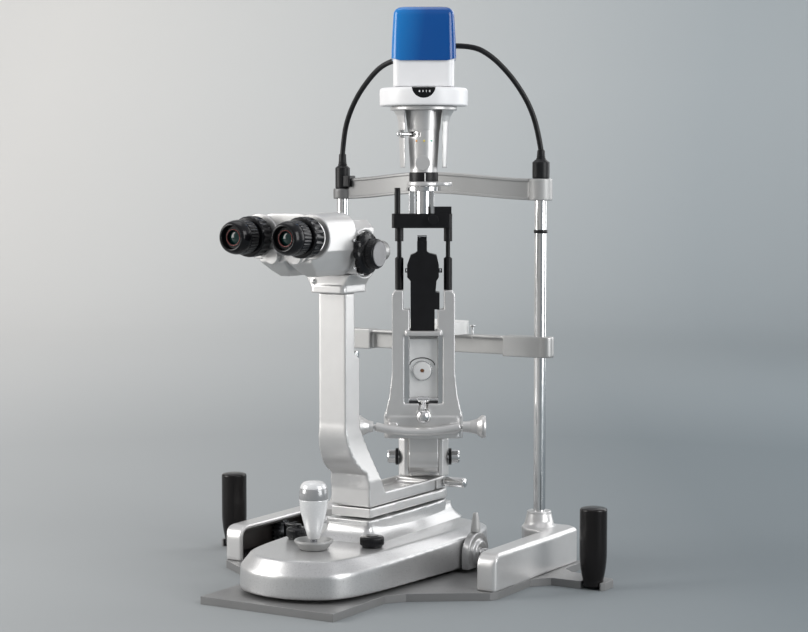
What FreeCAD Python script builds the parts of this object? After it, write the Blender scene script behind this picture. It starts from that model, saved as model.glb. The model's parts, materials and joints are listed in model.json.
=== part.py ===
import FreeCAD, Part
import math
import os
import Sketcher
from types import SimpleNamespace

# Slit lamp on a base plate: cross-slide base, microscope arm, illumination tower and head rest.
# Millimetres. +X to the operator's right, +Y from the operator towards the patient, +Z up.
# The origin lies on the underside of the base plate. The tower is drawn in a frame of its own,
# whose origin is the common swing axis, and is then swung about that axis.

V = FreeCAD.Vector
UP = V(0, 0, 1)

DIMENSIONS = {
    # base plate and rails
    "plate_thick": 8.2, "plate_tongue_half": 80, "plate_front": -174, "plate_rear": 190,
    "plate_shoulder": 170, "plate_ear_half": 247, "plate_ear_front": 90,
    "cover_in": 148, "cover_out": 170, "cover_front": -7, "cover_rear": 190, "cover_top": 47,
    "cover_wall": 5, "cover_foot_in": 113, "cover_boss_top": 61.5, "cover_boss_radius": 13.3,
    "cover_cavity_rear": 138,
    "rack_wide": 12, "rack_centre": 156, "rack_front": -2, "rack_rear": 136,
    "tooth_module": 1.5, "gear_teeth": 16, "gear_wide": 9, "tooth_backlash": 0.5,
    # head rest
    "rod_x": 129, "rod_y": 174, "rod_radius": 6.8, "rod_foot": 40, "rod_top": 428,
    "band_low": 407, "band_high": 431, "band_rise": 7.5, "band_bulge": 22, "band_thick": 8,
    "band_boss_radius": 12.8, "pad_thick": 5,
    "plug_radius": 9.5, "plug_low": 431, "plug_high": 452, "plug_top": 462,
    "left_plug_radius": 8.5, "left_plug_low": 419, "left_plug_high": 446, "left_plug_top": 459,
    "cable_radius": 3,
    "grip_x": 231.5, "grip_y": 97, "grip_radius": 14.5, "grip_foot_radius": 11,
    "grip_low": 3.5, "grip_high": 87.5,
    "rest_low": 234, "rest_high": 257, "rest_thick": 18, "rest_box_in": 87,
    "rest_boss_radius": 12, "chin_y": 166, "ring_low": 214, "ring_high": 229.5,
    "ring_radius": 19,
    # cross slide
    "axle_y": 85, "axle_z": 27, "axle_radius": 6, "axle_half": 163, "running_gap": 0.05,
    "base_low": 12, "base_high": 50, "base_wall": 5,
    "flange_in": 88, "flange_out": 104, "flange_radius": 23,
    "shroud_half": 27, "shroud_front": -21, "shroud_rear": 163, "shroud_high": 71,
    "lock_x": 97, "knob_x": 46, "knob_y": -46, "knob_radius": 12.7, "knob_low": 50.5,
    # joystick
    "stick_y": -86, "stick_pivot_z": 36, "stick_top": 121, "stick_radius": 15.2,
    "collar_radius": 20, "collar_high": 60,
    # lift and swing axis
    "lift_shaft_y": 48, "lift_shaft_radius": 14, "lift_low": 73, "lift_high": 83,
    "lift_half": 24.5, "lift_front": -14, "pivot_y": 140, "post_radius": 10, "post_top": 146,
    # microscope
    "arm_low": 84.3, "arm_rim": 97.5, "arm_half": 24.5, "arm_front": -15, "column_half": 17,
    "column_front": -50, "column_rear": -23, "column_top": 313, "tray_floor": 91,
    "seat_high": 331, "seat_half": 21.5, "seat_front": -60, "seat_rear": -15,
    "optic_z": 374, "pupil_half": 31, "eye_face": -186, "eye_seat": -135.3, "hinge_x": 14, "hinge_z": 354,
    "house_front": -135, "house_rear": -58, "house_half": 35, "house_low": 333,
    "house_high": 397, "changer_rear": -14, "objective_end": 29,
    "zoom_y": -44, "zoom_z": 354.5, "zoom_in": 36, "zoom_out": 55,
    # illumination tower, in its own frame
    "tower_swing": 30, "tower_y": -70, "hub_low": 98.5, "hub_high": 147, "tilt_y": -38,
    "tilt_z": 123.7, "tongue_half": 16.4, "ear_half": 27.5,
    "yoke_half": 34, "yoke_front": -84, "yoke_rear": -54, "yoke_high": 311,
    "yoke_foot_half": 43, "yoke_foot": 173, "window_half": 21, "window_low": 188,
    "window_high": 261.5, "mirror_z": 357,
    "bar_z": 158.5, "bar_left": 54, "bar_right": 42, "bar_y": -92, "link_x": 26.4,
    "cross_low": 378, "cross_high": 393.3, "tube_radius": 8.7, "tube_low": 396,
    "tube_high": 418, "barrel_low": 438, "barrel_high": 508.8, "disc_radius": 47.5,
    "disc_high": 528.4, "lamp_half": 32.5, "lamp_high": 559, "cap_top": 613.5, "cap_half": 34.5,
}


class Size:
    """A number together with the spreadsheet formula that it comes from."""

    def __init__(self, value, formula):
        self.value, self.formula = float(value), formula

    def __float__(self):
        return self.value

    def join(self, other, sign, value):
        return Size(value, f"({self.formula} {sign} {formula_of(other)})")

    def __add__(self, other):
        return self.join(other, "+", self.value + float(other))

    def __sub__(self, other):
        return self.join(other, "-", self.value - float(other))

    def __mul__(self, other):
        return self.join(other, "*", self.value * float(other))

    def __truediv__(self, other):
        return self.join(other, "/", self.value / float(other))

    def __radd__(self, other):
        return self + other

    def __rmul__(self, other):
        return self * other

    def __rsub__(self, other):
        return (-self) + other

    def __neg__(self):
        return Size(-self.value, f"(-1 * {self.formula})")


def formula_of(size):
    return size.formula if isinstance(size, Size) else repr(float(size))


doc = FreeCAD.newDocument("slit_lamp")
sheet = doc.addObject("Spreadsheet::Sheet", "Sizes")
for line, (alias, number) in enumerate(DIMENSIONS.items(), start=1):
    sheet.set(f"A{line}", alias)
    sheet.set(f"B{line}", str(number))
    sheet.setAlias(f"B{line}", alias)
doc.recompute()
d = SimpleNamespace(**{name: Size(sheet.get(name), f"Sizes.{name}") for name in DIMENSIONS})

nodes = {}
spare = 0


def spare_name(kind):
    """A name for an object that only helps to build a node."""
    global spare
    spare += 1
    return f"{kind}_{spare}"


def bind(thing, prop, size):
    """Gives a property its value and, for a Size, the formula that keeps it."""
    if isinstance(size, Size):
        thing.setExpression(prop, size.formula)
    else:
        thing.setExpression(prop, None)
        if prop.startswith("Placement.Base."):
            base = thing.Placement.Base
            setattr(base, prop[-1], float(size))
            thing.Placement = FreeCAD.Placement(base, thing.Placement.Rotation)
        else:
            setattr(thing, prop, float(size))


def place(thing, at=(0, 0, 0), turn=None):
    """Puts an object at a point whose coordinates may be Sizes."""
    thing.Placement = FreeCAD.Placement(V(*[float(a) for a in at]), turn or FreeCAD.Rotation())
    for axis, size in zip("xyz", at):
        bind(thing, f"Placement.Base.{axis}", size)
    return thing


def along(direction):
    """The turn that brings +Z to a direction."""
    return FreeCAD.Rotation(UP, V(*direction))


def box(x, y, z):
    """A box from three (low, high) pairs."""
    made = doc.addObject("Part::Box", spare_name("box"))
    for prop, (low, high) in zip(("Length", "Width", "Height"), (x, y, z)):
        bind(made, prop, Size(high, formula_of(high)) - low)
    return place(made, (x[0], y[0], z[0]))


def rod(radius, at, length, direction=(0, 0, 1)):
    made = doc.addObject("Part::Cylinder", spare_name("rod"))
    bind(made, "Radius", radius)
    bind(made, "Height", length)
    return place(made, at, along(direction))


def cone(foot, head, at, length, direction=(0, 0, 1)):
    made = doc.addObject("Part::Cone", spare_name("cone"))
    bind(made, "Radius1", foot)
    bind(made, "Radius2", head)
    bind(made, "Height", length)
    return place(made, at, along(direction))


def ball(radius, at):
    made = doc.addObject("Part::Sphere", spare_name("ball"))
    bind(made, "Radius", radius)
    return place(made, at)


def fuse(*things):
    made = doc.addObject("Part::MultiFuse", spare_name("fuse"))
    made.Shapes = list(things)
    made.Refine = True
    return made


def group(*things):
    """Separate solids that share one node."""
    made = doc.addObject("Part::Compound", spare_name("group"))
    made.Links = list(things)
    return made


def cut(base, *tools):
    made = doc.addObject("Part::Cut", spare_name("cut"))
    made.Base = base
    made.Tool = tools[0] if len(tools) == 1 else fuse(*tools)
    return made


def common(base, tool):
    made = doc.addObject("Part::Common", spare_name("common"))
    made.Base = base
    made.Tool = tool
    return made


def rounded(base, radius, wanted):
    """Rounds the edges whose middle point satisfies wanted(point, edge)."""
    doc.recompute()
    edges = [
        (number, float(radius), float(radius))
        for number, edge in enumerate(base.Shape.Edges, start=1)
        if wanted(edge.CenterOfMass, edge)
    ]
    if not edges:
        raise ValueError(f"no edge to round on {base.Name}")
    made = doc.addObject("Part::Fillet", spare_name("fillet"))
    made.Base = base
    made.Edges = edges
    return made


def bevelled(base, size, wanted):
    """Chamfers the edges whose middle point satisfies wanted(point, edge)."""
    doc.recompute()
    edges = [
        (number, float(size), float(size))
        for number, edge in enumerate(base.Shape.Edges, start=1)
        if wanted(edge.CenterOfMass, edge)
    ]
    if not edges:
        raise ValueError(f"no edge to bevel on {base.Name}")
    made = doc.addObject("Part::Chamfer", spare_name("chamfer"))
    made.Base = base
    made.Edges = edges
    return made


def upright_edge(point, edge):
    ends = [v.Point for v in edge.Vertexes]
    return len(ends) == 2 and abs(ends[0].x - ends[1].x) + abs(ends[0].y - ends[1].y) < 1e-6


def sketch_in(body, role, outline):
    """A closed outline in one of a body's planes.

    A point is (x, y). A third value, a pair, is a point that the arc to the next point passes.
    """
    plane = next(o for o in body.Origin.OriginFeatures if o.Role == role)
    sketch = body.newObject("Sketcher::SketchObject", spare_name("sketch"))
    sketch.AttachmentSupport = [(plane, "")]
    sketch.MapMode = "FlatFace"
    spots = [V(float(p[0]), float(p[1]), 0) for p in outline]
    starts, ends = [], []
    for i, spot in enumerate(spots):
        after = spots[(i + 1) % len(spots)]
        if len(outline[i]) == 2:
            sketch.addGeometry(Part.LineSegment(spot, after))
            starts.append(1)
            ends.append(2)
        else:
            middle = V(float(outline[i][2][0]), float(outline[i][2][1]), 0)
            arc = Part.Arc(spot, middle, after)
            sketch.addGeometry(arc)
            forward = sketch.getPoint(i, 1).distanceToPoint(spot) < 1e-6
            starts.append(1 if forward else 2)
            ends.append(2 if forward else 1)
    last = len(spots)
    for i in range(last):
        after = (i + 1) % last
        sketch.addConstraint(Sketcher.Constraint("Coincident", i, ends[i], after, starts[after]))
    for i, point in enumerate(outline):
        for kind, size in zip(("DistanceX", "DistanceY"), point[:2]):
            number = sketch.addConstraint(
                Sketcher.Constraint(kind, -1, 1, i, starts[i], float(size))
            )
            if isinstance(size, Size):
                sketch.setExpression(f"Constraints[{number}]", size.formula)
    return sketch


def slab(outline, length, role="XY_Plane", at=(0, 0, 0), turn=None):
    """An outline padded from its plane: +Z for XY, -Y for XZ and +X for YZ."""
    body = doc.addObject("PartDesign::Body", spare_name("slab"))
    pad = body.newObject("PartDesign::Pad", spare_name("pad"))
    pad.Profile = sketch_in(body, role, outline)
    bind(pad, "Length", length)
    return place(body, at, turn)


def turned(profile, at=(0, 0, 0), direction=(0, 0, 1)):
    """A profile of (radius, height) points turned about its own axis."""
    body = doc.addObject("PartDesign::Body", spare_name("turned"))
    sketch = sketch_in(body, "XZ_Plane", profile)
    spin = body.newObject("PartDesign::Revolution", spare_name("spin"))
    spin.Profile = sketch
    spin.ReferenceAxis = (sketch, ["V_Axis"])
    spin.Angle = 360
    return place(body, at, along(direction))


def shaped(shape):
    made = doc.addObject("Part::Feature", spare_name("shape"))
    made.Shape = shape
    return made


def mirrored(thing):
    """The same piece on the other side of the plane X = 0."""
    made = doc.addObject("Part::Mirroring", spare_name("mirror"))
    made.Source = thing
    made.Normal = V(1, 0, 0)
    return made


def node(name, thing):
    """Names a finished sub-part."""
    thing.Label = name
    nodes[name] = thing
    return thing


def tower_node(name, thing):
    """Names a sub-part drawn in the tower's frame and swings it about the pivot."""
    swing = FreeCAD.Rotation(UP, float(d.tower_swing))
    holder = doc.addObject("Part::Compound", spare_name("tower"))
    holder.Links = [thing]
    return node(name, place(holder, (0, d.pivot_y, 0), swing))


# ---------------------------------------------------------------- base plate and rails


def base_plate():
    half = [
        (d.plate_tongue_half, d.plate_front),
        (d.plate_tongue_half, -76),
        (94, -58),
        (d.plate_shoulder - 4, -10),
        (d.plate_shoulder, 0),
        (d.plate_shoulder, 72),
        (186, d.plate_ear_front),
        (d.plate_ear_half - 3, d.plate_ear_front),
        (d.plate_ear_half, d.plate_ear_front + 3),
        (d.plate_ear_half, d.plate_ear_front + 24),
        (d.plate_ear_half - 5, d.plate_ear_front + 30),
        (190, d.plate_ear_front + 40),
        (177, d.plate_ear_front + 52),
        (177, d.plate_rear),
    ]
    outline = half + [(-x, y) for x, y in reversed(half)]
    plate = slab(outline, d.plate_thick)
    notches = [
        rod(d.grip_foot_radius, (side * d.grip_x, d.grip_y, -1), d.plate_thick + 2)
        for side in (1, -1)
    ]
    slots = [
        box(
            (side * d.grip_x - d.grip_foot_radius, side * d.grip_x + d.grip_foot_radius),
            (d.plate_ear_front - 2, d.grip_y),
            (-1, d.plate_thick + 1),
        )
        for side in (1, -1)
    ]
    return node("base_plate", cut(plate, *notches, *slots))


def rail_cover(side):
    plan = [
        (d.cover_in, d.cover_front),
        (d.cover_out - 3, d.cover_front),
        (d.cover_out, d.cover_front + 3),
        (d.cover_out + 2, d.cover_rear - 8),
        (d.cover_out - 8, d.cover_rear),
        (122, d.cover_rear),
        (d.cover_foot_in, d.cover_rear - 9),
        (d.cover_foot_in + 1, 160),
        (124, 148),
        (d.cover_in, 141),
    ]
    body = slab(plan, d.cover_top - d.plate_thick, at=(0, 0, d.plate_thick))
    body = bevelled(
        body,
        2.5,
        lambda p, e: p.z > float(d.cover_top) - 0.01 and (p.x > 165 or p.y < 0),
    )
    boss = cone(19.5, d.cover_boss_radius, (d.rod_x, d.rod_y, 36), d.cover_boss_top - 36)
    saddle = ball(20, (d.rod_x + 6, d.rod_y - 6, 33))
    cavity = box(
        (d.cover_in - 3, d.cover_out - d.cover_wall),
        (d.cover_front + d.cover_wall, d.cover_cavity_rear),
        (d.plate_thick - 1, d.cover_top - d.cover_wall),
    )
    front = float(d.cover_front + d.cover_wall)
    cavity = rounded(
        cavity,
        9,
        lambda p, e: p.y < front + 0.01 and p.z > 40 and abs(p.x - 155) < 5,
    )
    socket = rod(d.rod_radius, (d.rod_x, d.rod_y, d.rod_foot), 60)
    turn, nose_y, nose_z = 14, d.cover_front + 14, d.cover_top - 14
    corner = cut(
        box((d.cover_in - 5, d.cover_out + 5), (d.cover_front - 1, nose_y), (nose_z, nose_z + 20)),
        rod(turn, (d.cover_in - 6, nose_y, nose_z), 40, (1, 0, 0)),
    )
    cover = cut(fuse(body, boss, saddle), cavity, socket, corner)
    name = "rail_cover_right" if side > 0 else "rail_cover_left"
    return node(name, cover if side > 0 else mirrored(cover))


def gear_racks():
    """Two straight racks whose teeth point up, in mesh with the gear wheels on the axle."""
    module = float(d.tooth_module)
    pitch = math.pi * module
    pitch_z = float(d.axle_z) - module * float(d.gear_teeth) / 2
    lean = math.tan(math.radians(20))
    low, root, tip = float(d.plate_thick), pitch_z - 1.25 * module, pitch_z + 0.8 * module
    wide = pitch / 2 - float(d.tooth_backlash)
    foot_half = wide / 2 + (pitch_z - root) * lean
    tip_half = wide / 2 - (tip - pitch_z) * lean
    front, rear = float(d.rack_front), float(d.rack_rear)
    first = math.ceil((front + foot_half - float(d.axle_y)) / pitch)
    last = math.floor((rear - foot_half - float(d.axle_y)) / pitch)
    line = [V(0, front, low), V(0, front, root)]
    for tooth in range(first, last + 1):
        middle = float(d.axle_y) + tooth * pitch
        line += [V(0, middle - foot_half, root), V(0, middle - tip_half, tip)]
        line += [V(0, middle + tip_half, tip), V(0, middle + foot_half, root)]
    line += [V(0, rear, root), V(0, rear, low)]
    face = Part.Face(Part.makePolygon(line + line[:1]))
    rack = face.extrude(V(float(d.rack_wide), 0, 0))
    pair = [
        place(shaped(rack), (side * d.rack_centre - d.rack_wide / 2, 0, 0)) for side in (1, -1)
    ]
    return node("gear_racks", group(*pair))


def grip(side):
    low, high = d.grip_low, d.grip_high
    profile = [
        (0, low),
        (d.grip_foot_radius - 0.6, low),
        (d.grip_foot_radius, low + 1),
        (d.grip_foot_radius, d.plate_thick + 2, (d.grip_radius - 0.8, low + 22)),
        (d.grip_radius, low + 38),
        (d.grip_radius, high - 3.4, (d.grip_radius - 0.7, high - 1.9)),
        (d.grip_radius - 2.2, high - 1.2),
        (9, high - 0.4),
        (5, high),
        (0, high),
    ]
    return turned(profile, (side * d.grip_x, d.grip_y, 0))


# ---------------------------------------------------------------- head rest


def uprights():
    rods = [
        rod(d.rod_radius, (side * d.rod_x, d.rod_y, d.rod_foot), d.rod_top - d.rod_foot)
        for side in (1, -1)
    ]
    rods[1] = rod(
        d.rod_radius, (-d.rod_x, d.rod_y, d.rod_foot), d.left_plug_low - 3 - d.rod_foot
    )
    return node("uprights", group(*rods))


def arched_bar(half, low, high, thick, rise, bulge, steps=8):
    """A bar along X that arches up by rise and towards the operator by bulge at its middle."""
    wires = []
    for i in range(steps + 1):
        x = -half + 2 * half * i / steps
        swell = math.cos(math.pi * x / half / 2) ** 2
        y = float(d.rod_y) - bulge * swell
        corners = [
            V(x, y - thick / 2, low + rise * swell),
            V(x, y + thick / 2, low + rise * swell),
            V(x, y + thick / 2, high + rise * swell),
            V(x, y - thick / 2, high + rise * swell),
        ]
        wires.append(Part.makePolygon(corners + corners[:1]))
    return Part.makeLoft(wires, True, False)


def forehead_band():
    half = float(d.rod_x)
    low, high = float(d.band_low), float(d.band_high)
    bar = shaped(
        arched_bar(half, low, high, float(d.band_thick), float(d.band_rise), float(d.band_bulge))
    )
    right = rod(d.band_boss_radius, (d.rod_x, d.rod_y, low), d.band_high - d.band_low)
    left = rod(d.band_boss_radius - 2, (-d.rod_x, d.rod_y, low), d.left_plug_low - low)
    head = box(
        (-d.rod_x - 20, -d.rod_x + d.band_boss_radius - 1),
        (d.rod_y - 20, d.rod_y + 20),
        (d.left_plug_low, d.band_high + 5),
    )
    sockets = [rod(d.rod_radius, (side * d.rod_x, d.rod_y, low - 5), 60) for side in (1, -1)]
    sockets[0] = rod(d.rod_radius, (d.rod_x, d.rod_y, low - 5), d.rod_top - low + 5)
    return node("forehead_band", cut(fuse(bar, right, left), head, *sockets))


def forehead_pad():
    """A soft strip on the patient's side of the band."""
    half, thick = 60.0, float(d.pad_thick)
    rest_half = float(d.rod_x)
    wires = []
    for i in range(7):
        x = -half + 2 * half * i / 6
        swell = math.cos(math.pi * x / rest_half / 2) ** 2
        y = float(d.rod_y) - float(d.band_bulge) * swell + float(d.band_thick) / 2 + 0.3
        low = float(d.band_low) + float(d.band_rise) * swell + 3
        high = float(d.band_high) + float(d.band_rise) * swell - 3
        corners = [V(x, y, low), V(x, y + thick, low + 1), V(x, y + thick, high - 1), V(x, y, high)]
        wires.append(Part.makePolygon(corners + corners[:1]))
    return node("forehead_pad", shaped(Part.makeLoft(wires, True, False)))


def cable_connectors():
    right = [
        (0, d.plug_low),
        (d.plug_radius - 0.8, d.plug_low),
        (d.plug_radius, d.plug_low + 1),
        (d.plug_radius, d.plug_high - 3),
        (d.plug_radius - 3.5, d.plug_high),
        (4.6, d.plug_high + 1),
        (4.1, d.plug_top),
        (0, d.plug_top),
    ]
    left = [
        (0, d.left_plug_low),
        (d.left_plug_radius - 0.8, d.left_plug_low),
        (d.left_plug_radius, d.left_plug_low + 1),
        (d.left_plug_radius, d.left_plug_high - 3),
        (5, d.left_plug_high),
        (4.6, d.left_plug_high + 1),
        (4.1, d.left_plug_top),
        (0, d.left_plug_top),
    ]
    node("cable_connector_right", turned(right, (d.rod_x, d.rod_y, 0)))
    node("cable_connector_left", turned(left, (-d.rod_x, d.rod_y, 0)))


# The routes of the two lamp cables, from the lamp's cap to the connectors, in millimetres.
CABLE_ROUTES = {
    "lamp_cable_left": [
        (2.8, 99.1, 566.0),
        (-7.6, 117.1, 566.0),
        (-29.0, 129.0, 563.5),
        (-53.0, 135.5, 557.0),
        (-76.0, 147.0, 543.5),
        (-97.5, 158.0, 526.5),
        (-114.5, 167.0, 507.0),
        (-125.8, 172.6, 484.5),
        (-129.0, 174.0, 459.0),
    ],
    "lamp_cable_right": [
        (53.5, 115.4, 575.0),
        (70.8, 125.4, 575.0),
        (86.0, 138.0, 564.5),
        (99.0, 148.7, 548.5),
        (109.5, 157.5, 531.5),
        (119.0, 165.5, 511.0),
        (125.8, 171.2, 486.6),
        (129.0, 174.0, 462.0),
    ],
}


def cable(name, route):
    """A tube of straight runs joined by tangent arcs, each as large as its two runs allow."""
    points = [V(*p) for p in route]
    edges, start = [], points[0]
    for before, corner, after in zip(points, points[1:], points[2:]):
        into, out = (before - corner), (after - corner)
        half_turn = (math.pi - into.getAngle(out)) / 2
        reach = 0.45 * min(into.Length, out.Length)
        radius = reach / math.tan(half_turn)
        print(f"{name} arc radius {radius:.0f}")
        first = corner + into.normalize() * reach
        last = corner + out.normalize() * reach
        inward = (into + out).normalize()
        middle_off = radius * (1 / math.cos(half_turn) - 1)
        edges.append(Part.LineSegment(start, first).toShape())
        edges.append(Part.Arc(first, corner + inward * middle_off, last).toShape())
        start = last
    edges.append(Part.LineSegment(start, points[-1]).toShape())
    path = Part.Wire(edges)
    radius = float(d.cable_radius)
    circle = Part.Wire(Part.Circle(points[0], points[1] - points[0], radius).toShape())
    tube = path.makePipeShell([circle], True, True)
    by_volume = tube.Volume / math.pi / radius**2
    print(f"{name} length {path.Length:.1f}, volume over section {by_volume:.1f}")
    return node(name, shaped(tube))


def chin_rest():
    low, high = d.rest_low, d.rest_high
    front, rear = d.rod_y - d.rest_thick / 2, d.rod_y + d.rest_thick / 2
    blocks = [
        slab(
            [
                (d.rest_box_in, front),
                (d.rod_x + 4, front, (d.rod_x + 16, d.rod_y)),
                (d.rod_x + 4, rear),
                (d.rest_box_in, rear),
            ],
            high - low,
            at=(0, 0, low),
        )
    ]
    blocks.append(mirrored(blocks[0]))
    web = box((-d.rest_box_in, d.rest_box_in), (d.rod_y - 1, rear - 1), (low + 1, high - 1))
    ledge = box((-d.rest_box_in, d.rest_box_in), (front + 2, rear - 1), (high - 4, high - 1))
    stem = rod(9, (0, d.chin_y + 4, low + 1), high - low - 2)
    sockets = [
        rod(d.rod_radius + d.running_gap, (side * d.rod_x, d.rod_y, low - 5), 40)
        for side in (1, -1)
    ]
    pin_holes = [rod(1.4, (side * 45, d.rod_y - 2, high - 5), 10) for side in (1, -1)]
    body = fuse(*blocks, web, ledge, stem)
    return node("chin_rest_frame", cut(body, *sockets, *pin_holes))


def chin_cup():
    bottom = d.rest_high - 1
    outer = slab(
        [
            (-31, d.chin_y - 14),
            (31, d.chin_y - 14, (38, d.chin_y + 4)),
            (30, d.chin_y + 22, (0, d.chin_y + 26)),
            (-30, d.chin_y + 22, (-38, d.chin_y + 4)),
        ],
        14,
        at=(0, 0, bottom),
    )
    hollow = turned([(0, 0), (9, 0), (31, 18), (0, 18)], (0, d.chin_y + 3, bottom + 3.5))
    return node("chin_cup", cut(outer, hollow))


def paper_pins():
    pins = [
        turned([(0, -5), (1.4, -5), (1.4, 7), (3.4, 8.5), (3.4, 9.5), (0, 10)],
               (side * 45, d.rod_y - 2, d.rest_high))
        for side in (1, -1)
    ]
    return node("paper_pins", group(*pins))


def chin_ring():
    profile = [
        (d.rod_radius + d.running_gap, d.ring_low),
        (d.ring_radius - 1.5, d.ring_low),
        (d.ring_radius, d.ring_low + 1.5),
        (d.ring_radius, d.ring_high - 1.5),
        (d.ring_radius - 1.5, d.ring_high),
        (12, d.ring_high),
        (12, d.rest_low - 0.3),
        (d.rod_radius + d.running_gap, d.rest_low - 0.3),
    ]
    return node("chin_height_ring", turned(profile, (-d.rod_x, d.rod_y, 0)))


# ---------------------------------------------------------------- cross slide


def axle_parts():
    shaft = rod(
        d.axle_radius, (-d.axle_half, d.axle_y, d.axle_z), 2 * d.axle_half, (1, 0, 0)
    )
    necks = [
        rod(d.axle_radius + 3, (side * 139, d.axle_y, d.axle_z), 3, (side, 0, 0))
        for side in (1, -1)
    ]
    node("axle_shaft", fuse(shaft, *necks))
    bushes = [
        cut(
            box(
                (side * 142.2 - (1 - side) * 2, side * 142.2 + (1 + side) * 2),
                (d.axle_y - 11, d.axle_y + 11),
                (d.plate_thick + 0.3, d.axle_z + 11),
            ),
            rod(
                d.axle_radius + d.running_gap,
                (side * 140, d.axle_y, d.axle_z),
                9,
                (side, 0, 0),
            ),
        )
        for side in (1, -1)
    ]
    node("axle_bushes", group(*bushes))


def gear_wheels():
    """Wheels whose teeth roll in the racks, one space down at rest."""
    module, teeth = float(d.tooth_module), int(float(d.gear_teeth))
    pitch_radius = module * teeth / 2
    root, tip = pitch_radius - 1.25 * module, pitch_radius + 0.8 * module
    half_tooth = (math.pi * module / 2 - float(d.tooth_backlash)) / 2 / pitch_radius
    corners = []
    for tooth in range(teeth):
        middle = -math.pi / 2 + (tooth + 0.5) * 2 * math.pi / teeth
        for radius, off in ((root, -1.5), (pitch_radius, -1), (tip, -0.42), (tip, 0.42),
                            (pitch_radius, 1), (root, 1.5)):
            angle = middle + off * half_tooth
            corners.append(V(0, radius * math.cos(angle), radius * math.sin(angle)))
    face = Part.Face(Part.makePolygon(corners + corners[:1]))
    wheel = face.extrude(V(float(d.gear_wide), 0, 0))
    hole = Part.makeCylinder(float(d.axle_radius), 40, V(-10, 0, 0), V(1, 0, 0))
    wheel = wheel.cut(hole)
    wheels = [
        place(
            shaped(wheel), (side * d.rack_centre - d.gear_wide / 2, d.axle_y, d.axle_z)
        )
        for side in (1, -1)
    ]
    return node("gear_wheels", group(*wheels))


def base_outline(inset, height, rise=0.0):
    """The base's closed outline, drawn in by inset, at a height that rises to the rear."""
    half = [
        (0, -160), (32, -154), (58, -136), (71, -104), (78, -60), (83, -10), (88, 42),
        (91, 88), (86, 130), (70, 158), (42, 173), (0, 178),
    ]
    points = half + [(-x, y) for x, y in reversed(half[1:-1])]
    count = len(points)
    spots = []
    for i, (x, y) in enumerate(points):
        before, after = points[i - 1], points[(i + 1) % count]
        way = V(after[0] - before[0], after[1] - before[1], 0).normalize()
        share = max(0.0, min(1.0, (y + 160) / 250))
        step = inset * (1 + 0.75 * share)
        spots.append(V(x - way.y * step, y + way.x * step, height + rise * share))
    curve = Part.BSplineCurve()
    curve.interpolate(Points=spots, PeriodicFlag=True)
    return Part.Wire(curve.toShape())


def base_casting():
    low, high = float(d.base_low), float(d.base_high)
    sections = [base_outline(0, low), base_outline(0.5, 35, 10), base_outline(11, high)]
    outer = Part.makeLoft(sections, True, True)
    wall = float(d.base_wall)
    hollow = Part.makeLoft([base_outline(wall, low - 1), base_outline(wall + 12, high - wall - 1)],
                           True, True)
    flanges = [
        Part.makeCylinder(17, float(d.flange_in) - 62,
                          V(side * 66, float(d.axle_y), float(d.axle_z)), V(side, 0, 0))
        for side in (1, -1)
    ]
    below = Part.makeBox(400, 400, 40, V(-200, -200, low - 40))
    shell = outer.cut(hollow).fuse(flanges).cut(below)
    bore = float(d.axle_radius + d.running_gap)
    holes = [
        Part.makeCylinder(bore, 240, V(-120, float(d.axle_y), float(d.axle_z)), V(1, 0, 0)),
        Part.makeCylinder(float(d.lift_shaft_radius + d.running_gap), 60,
                          V(0, float(d.lift_shaft_y), 20)),
        Part.makeCylinder(12.6, 40, V(0, float(d.stick_y), 25)),
    ]
    for hole in holes:
        shell = shell.cut(hole)
    pivot = d.stick_pivot_z
    bearing = cut(
        box((-17.6, 17.6), (d.stick_y - 5, d.stick_y + 5), (pivot - 5, d.base_high - 4)),
        rod(12.6, (0, d.stick_y, pivot - 9), 40),
        rod(1.55, (-30, d.stick_y, pivot), 60, (1, 0, 0)),
    )
    return node("base_casting", fuse(shaped(shell.removeSplitter()), bearing))


def axle_flanges():
    def one(side):
        body = slab(
            [
                (-d.flange_radius, d.base_low - d.axle_z),
                (d.flange_radius, d.base_low - d.axle_z),
                (d.flange_radius, 0, (0, d.flange_radius)),
                (-d.flange_radius, 0),
            ],
            9,
            role="YZ_Plane",
            at=((d.flange_in + 4) if side > 0 else -d.flange_in - 13, d.axle_y, d.axle_z),
        )
        nose = cone(14.5, 13.5, (side * (d.flange_in + 13), d.axle_y, d.axle_z), 4, (side, 0, 0))
        bore = rod(
            d.axle_radius + d.running_gap,
            (side * (d.flange_in - 2), d.axle_y, d.axle_z),
            24,
            (side, 0, 0),
        )
        return cut(fuse(body, nose), bore)

    right, left = one(1), one(-1)
    hole = rod(2.6, (d.lock_x, d.axle_y, 40), 20)
    return node("axle_flanges", group(cut(right, hole), left))


def base_lock_lever():
    profile = [(0, 40.5), (2.5, 40.5), (2.5, 50.4), (5.4, 50.4), (5.2, 54), (2.8, 69.5),
               (2.2, 71), (0, 71.3)]
    return node("base_lock_lever", turned(profile, (d.lock_x, d.axle_y, 0)))


def pedestal_shroud():
    half, front, rear = d.shroud_half, d.shroud_front, d.shroud_rear
    outline = [
        (-half + 2, front),
        (half - 2, front),
        (half, front + 2, (half + 2.5, 70)),
        (half, 140, (half - 9, rear - 6)),
        (8, rear),
        (-8, rear, (-half + 9, rear - 6)),
        (-half, 140, (-half - 2.5, 70)),
        (-half, front + 2),
    ]
    body = slab(outline, d.shroud_high - d.base_high, at=(0, 0, d.base_high))
    bore = rod(d.lift_shaft_radius + d.running_gap, (0, d.lift_shaft_y, 40), 60)
    lip = d.base_high
    skirt = slab([(x * 1.07, y) for x, y, *_ in outline[:2]] + [(31, 60), (29, 140), (8, 166),
                 (-8, 166), (-29, 140), (-31, 60)], 2.4, at=(0, 0, lip))
    return node("pedestal_shroud", cut(fuse(body, skirt), bore))


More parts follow.
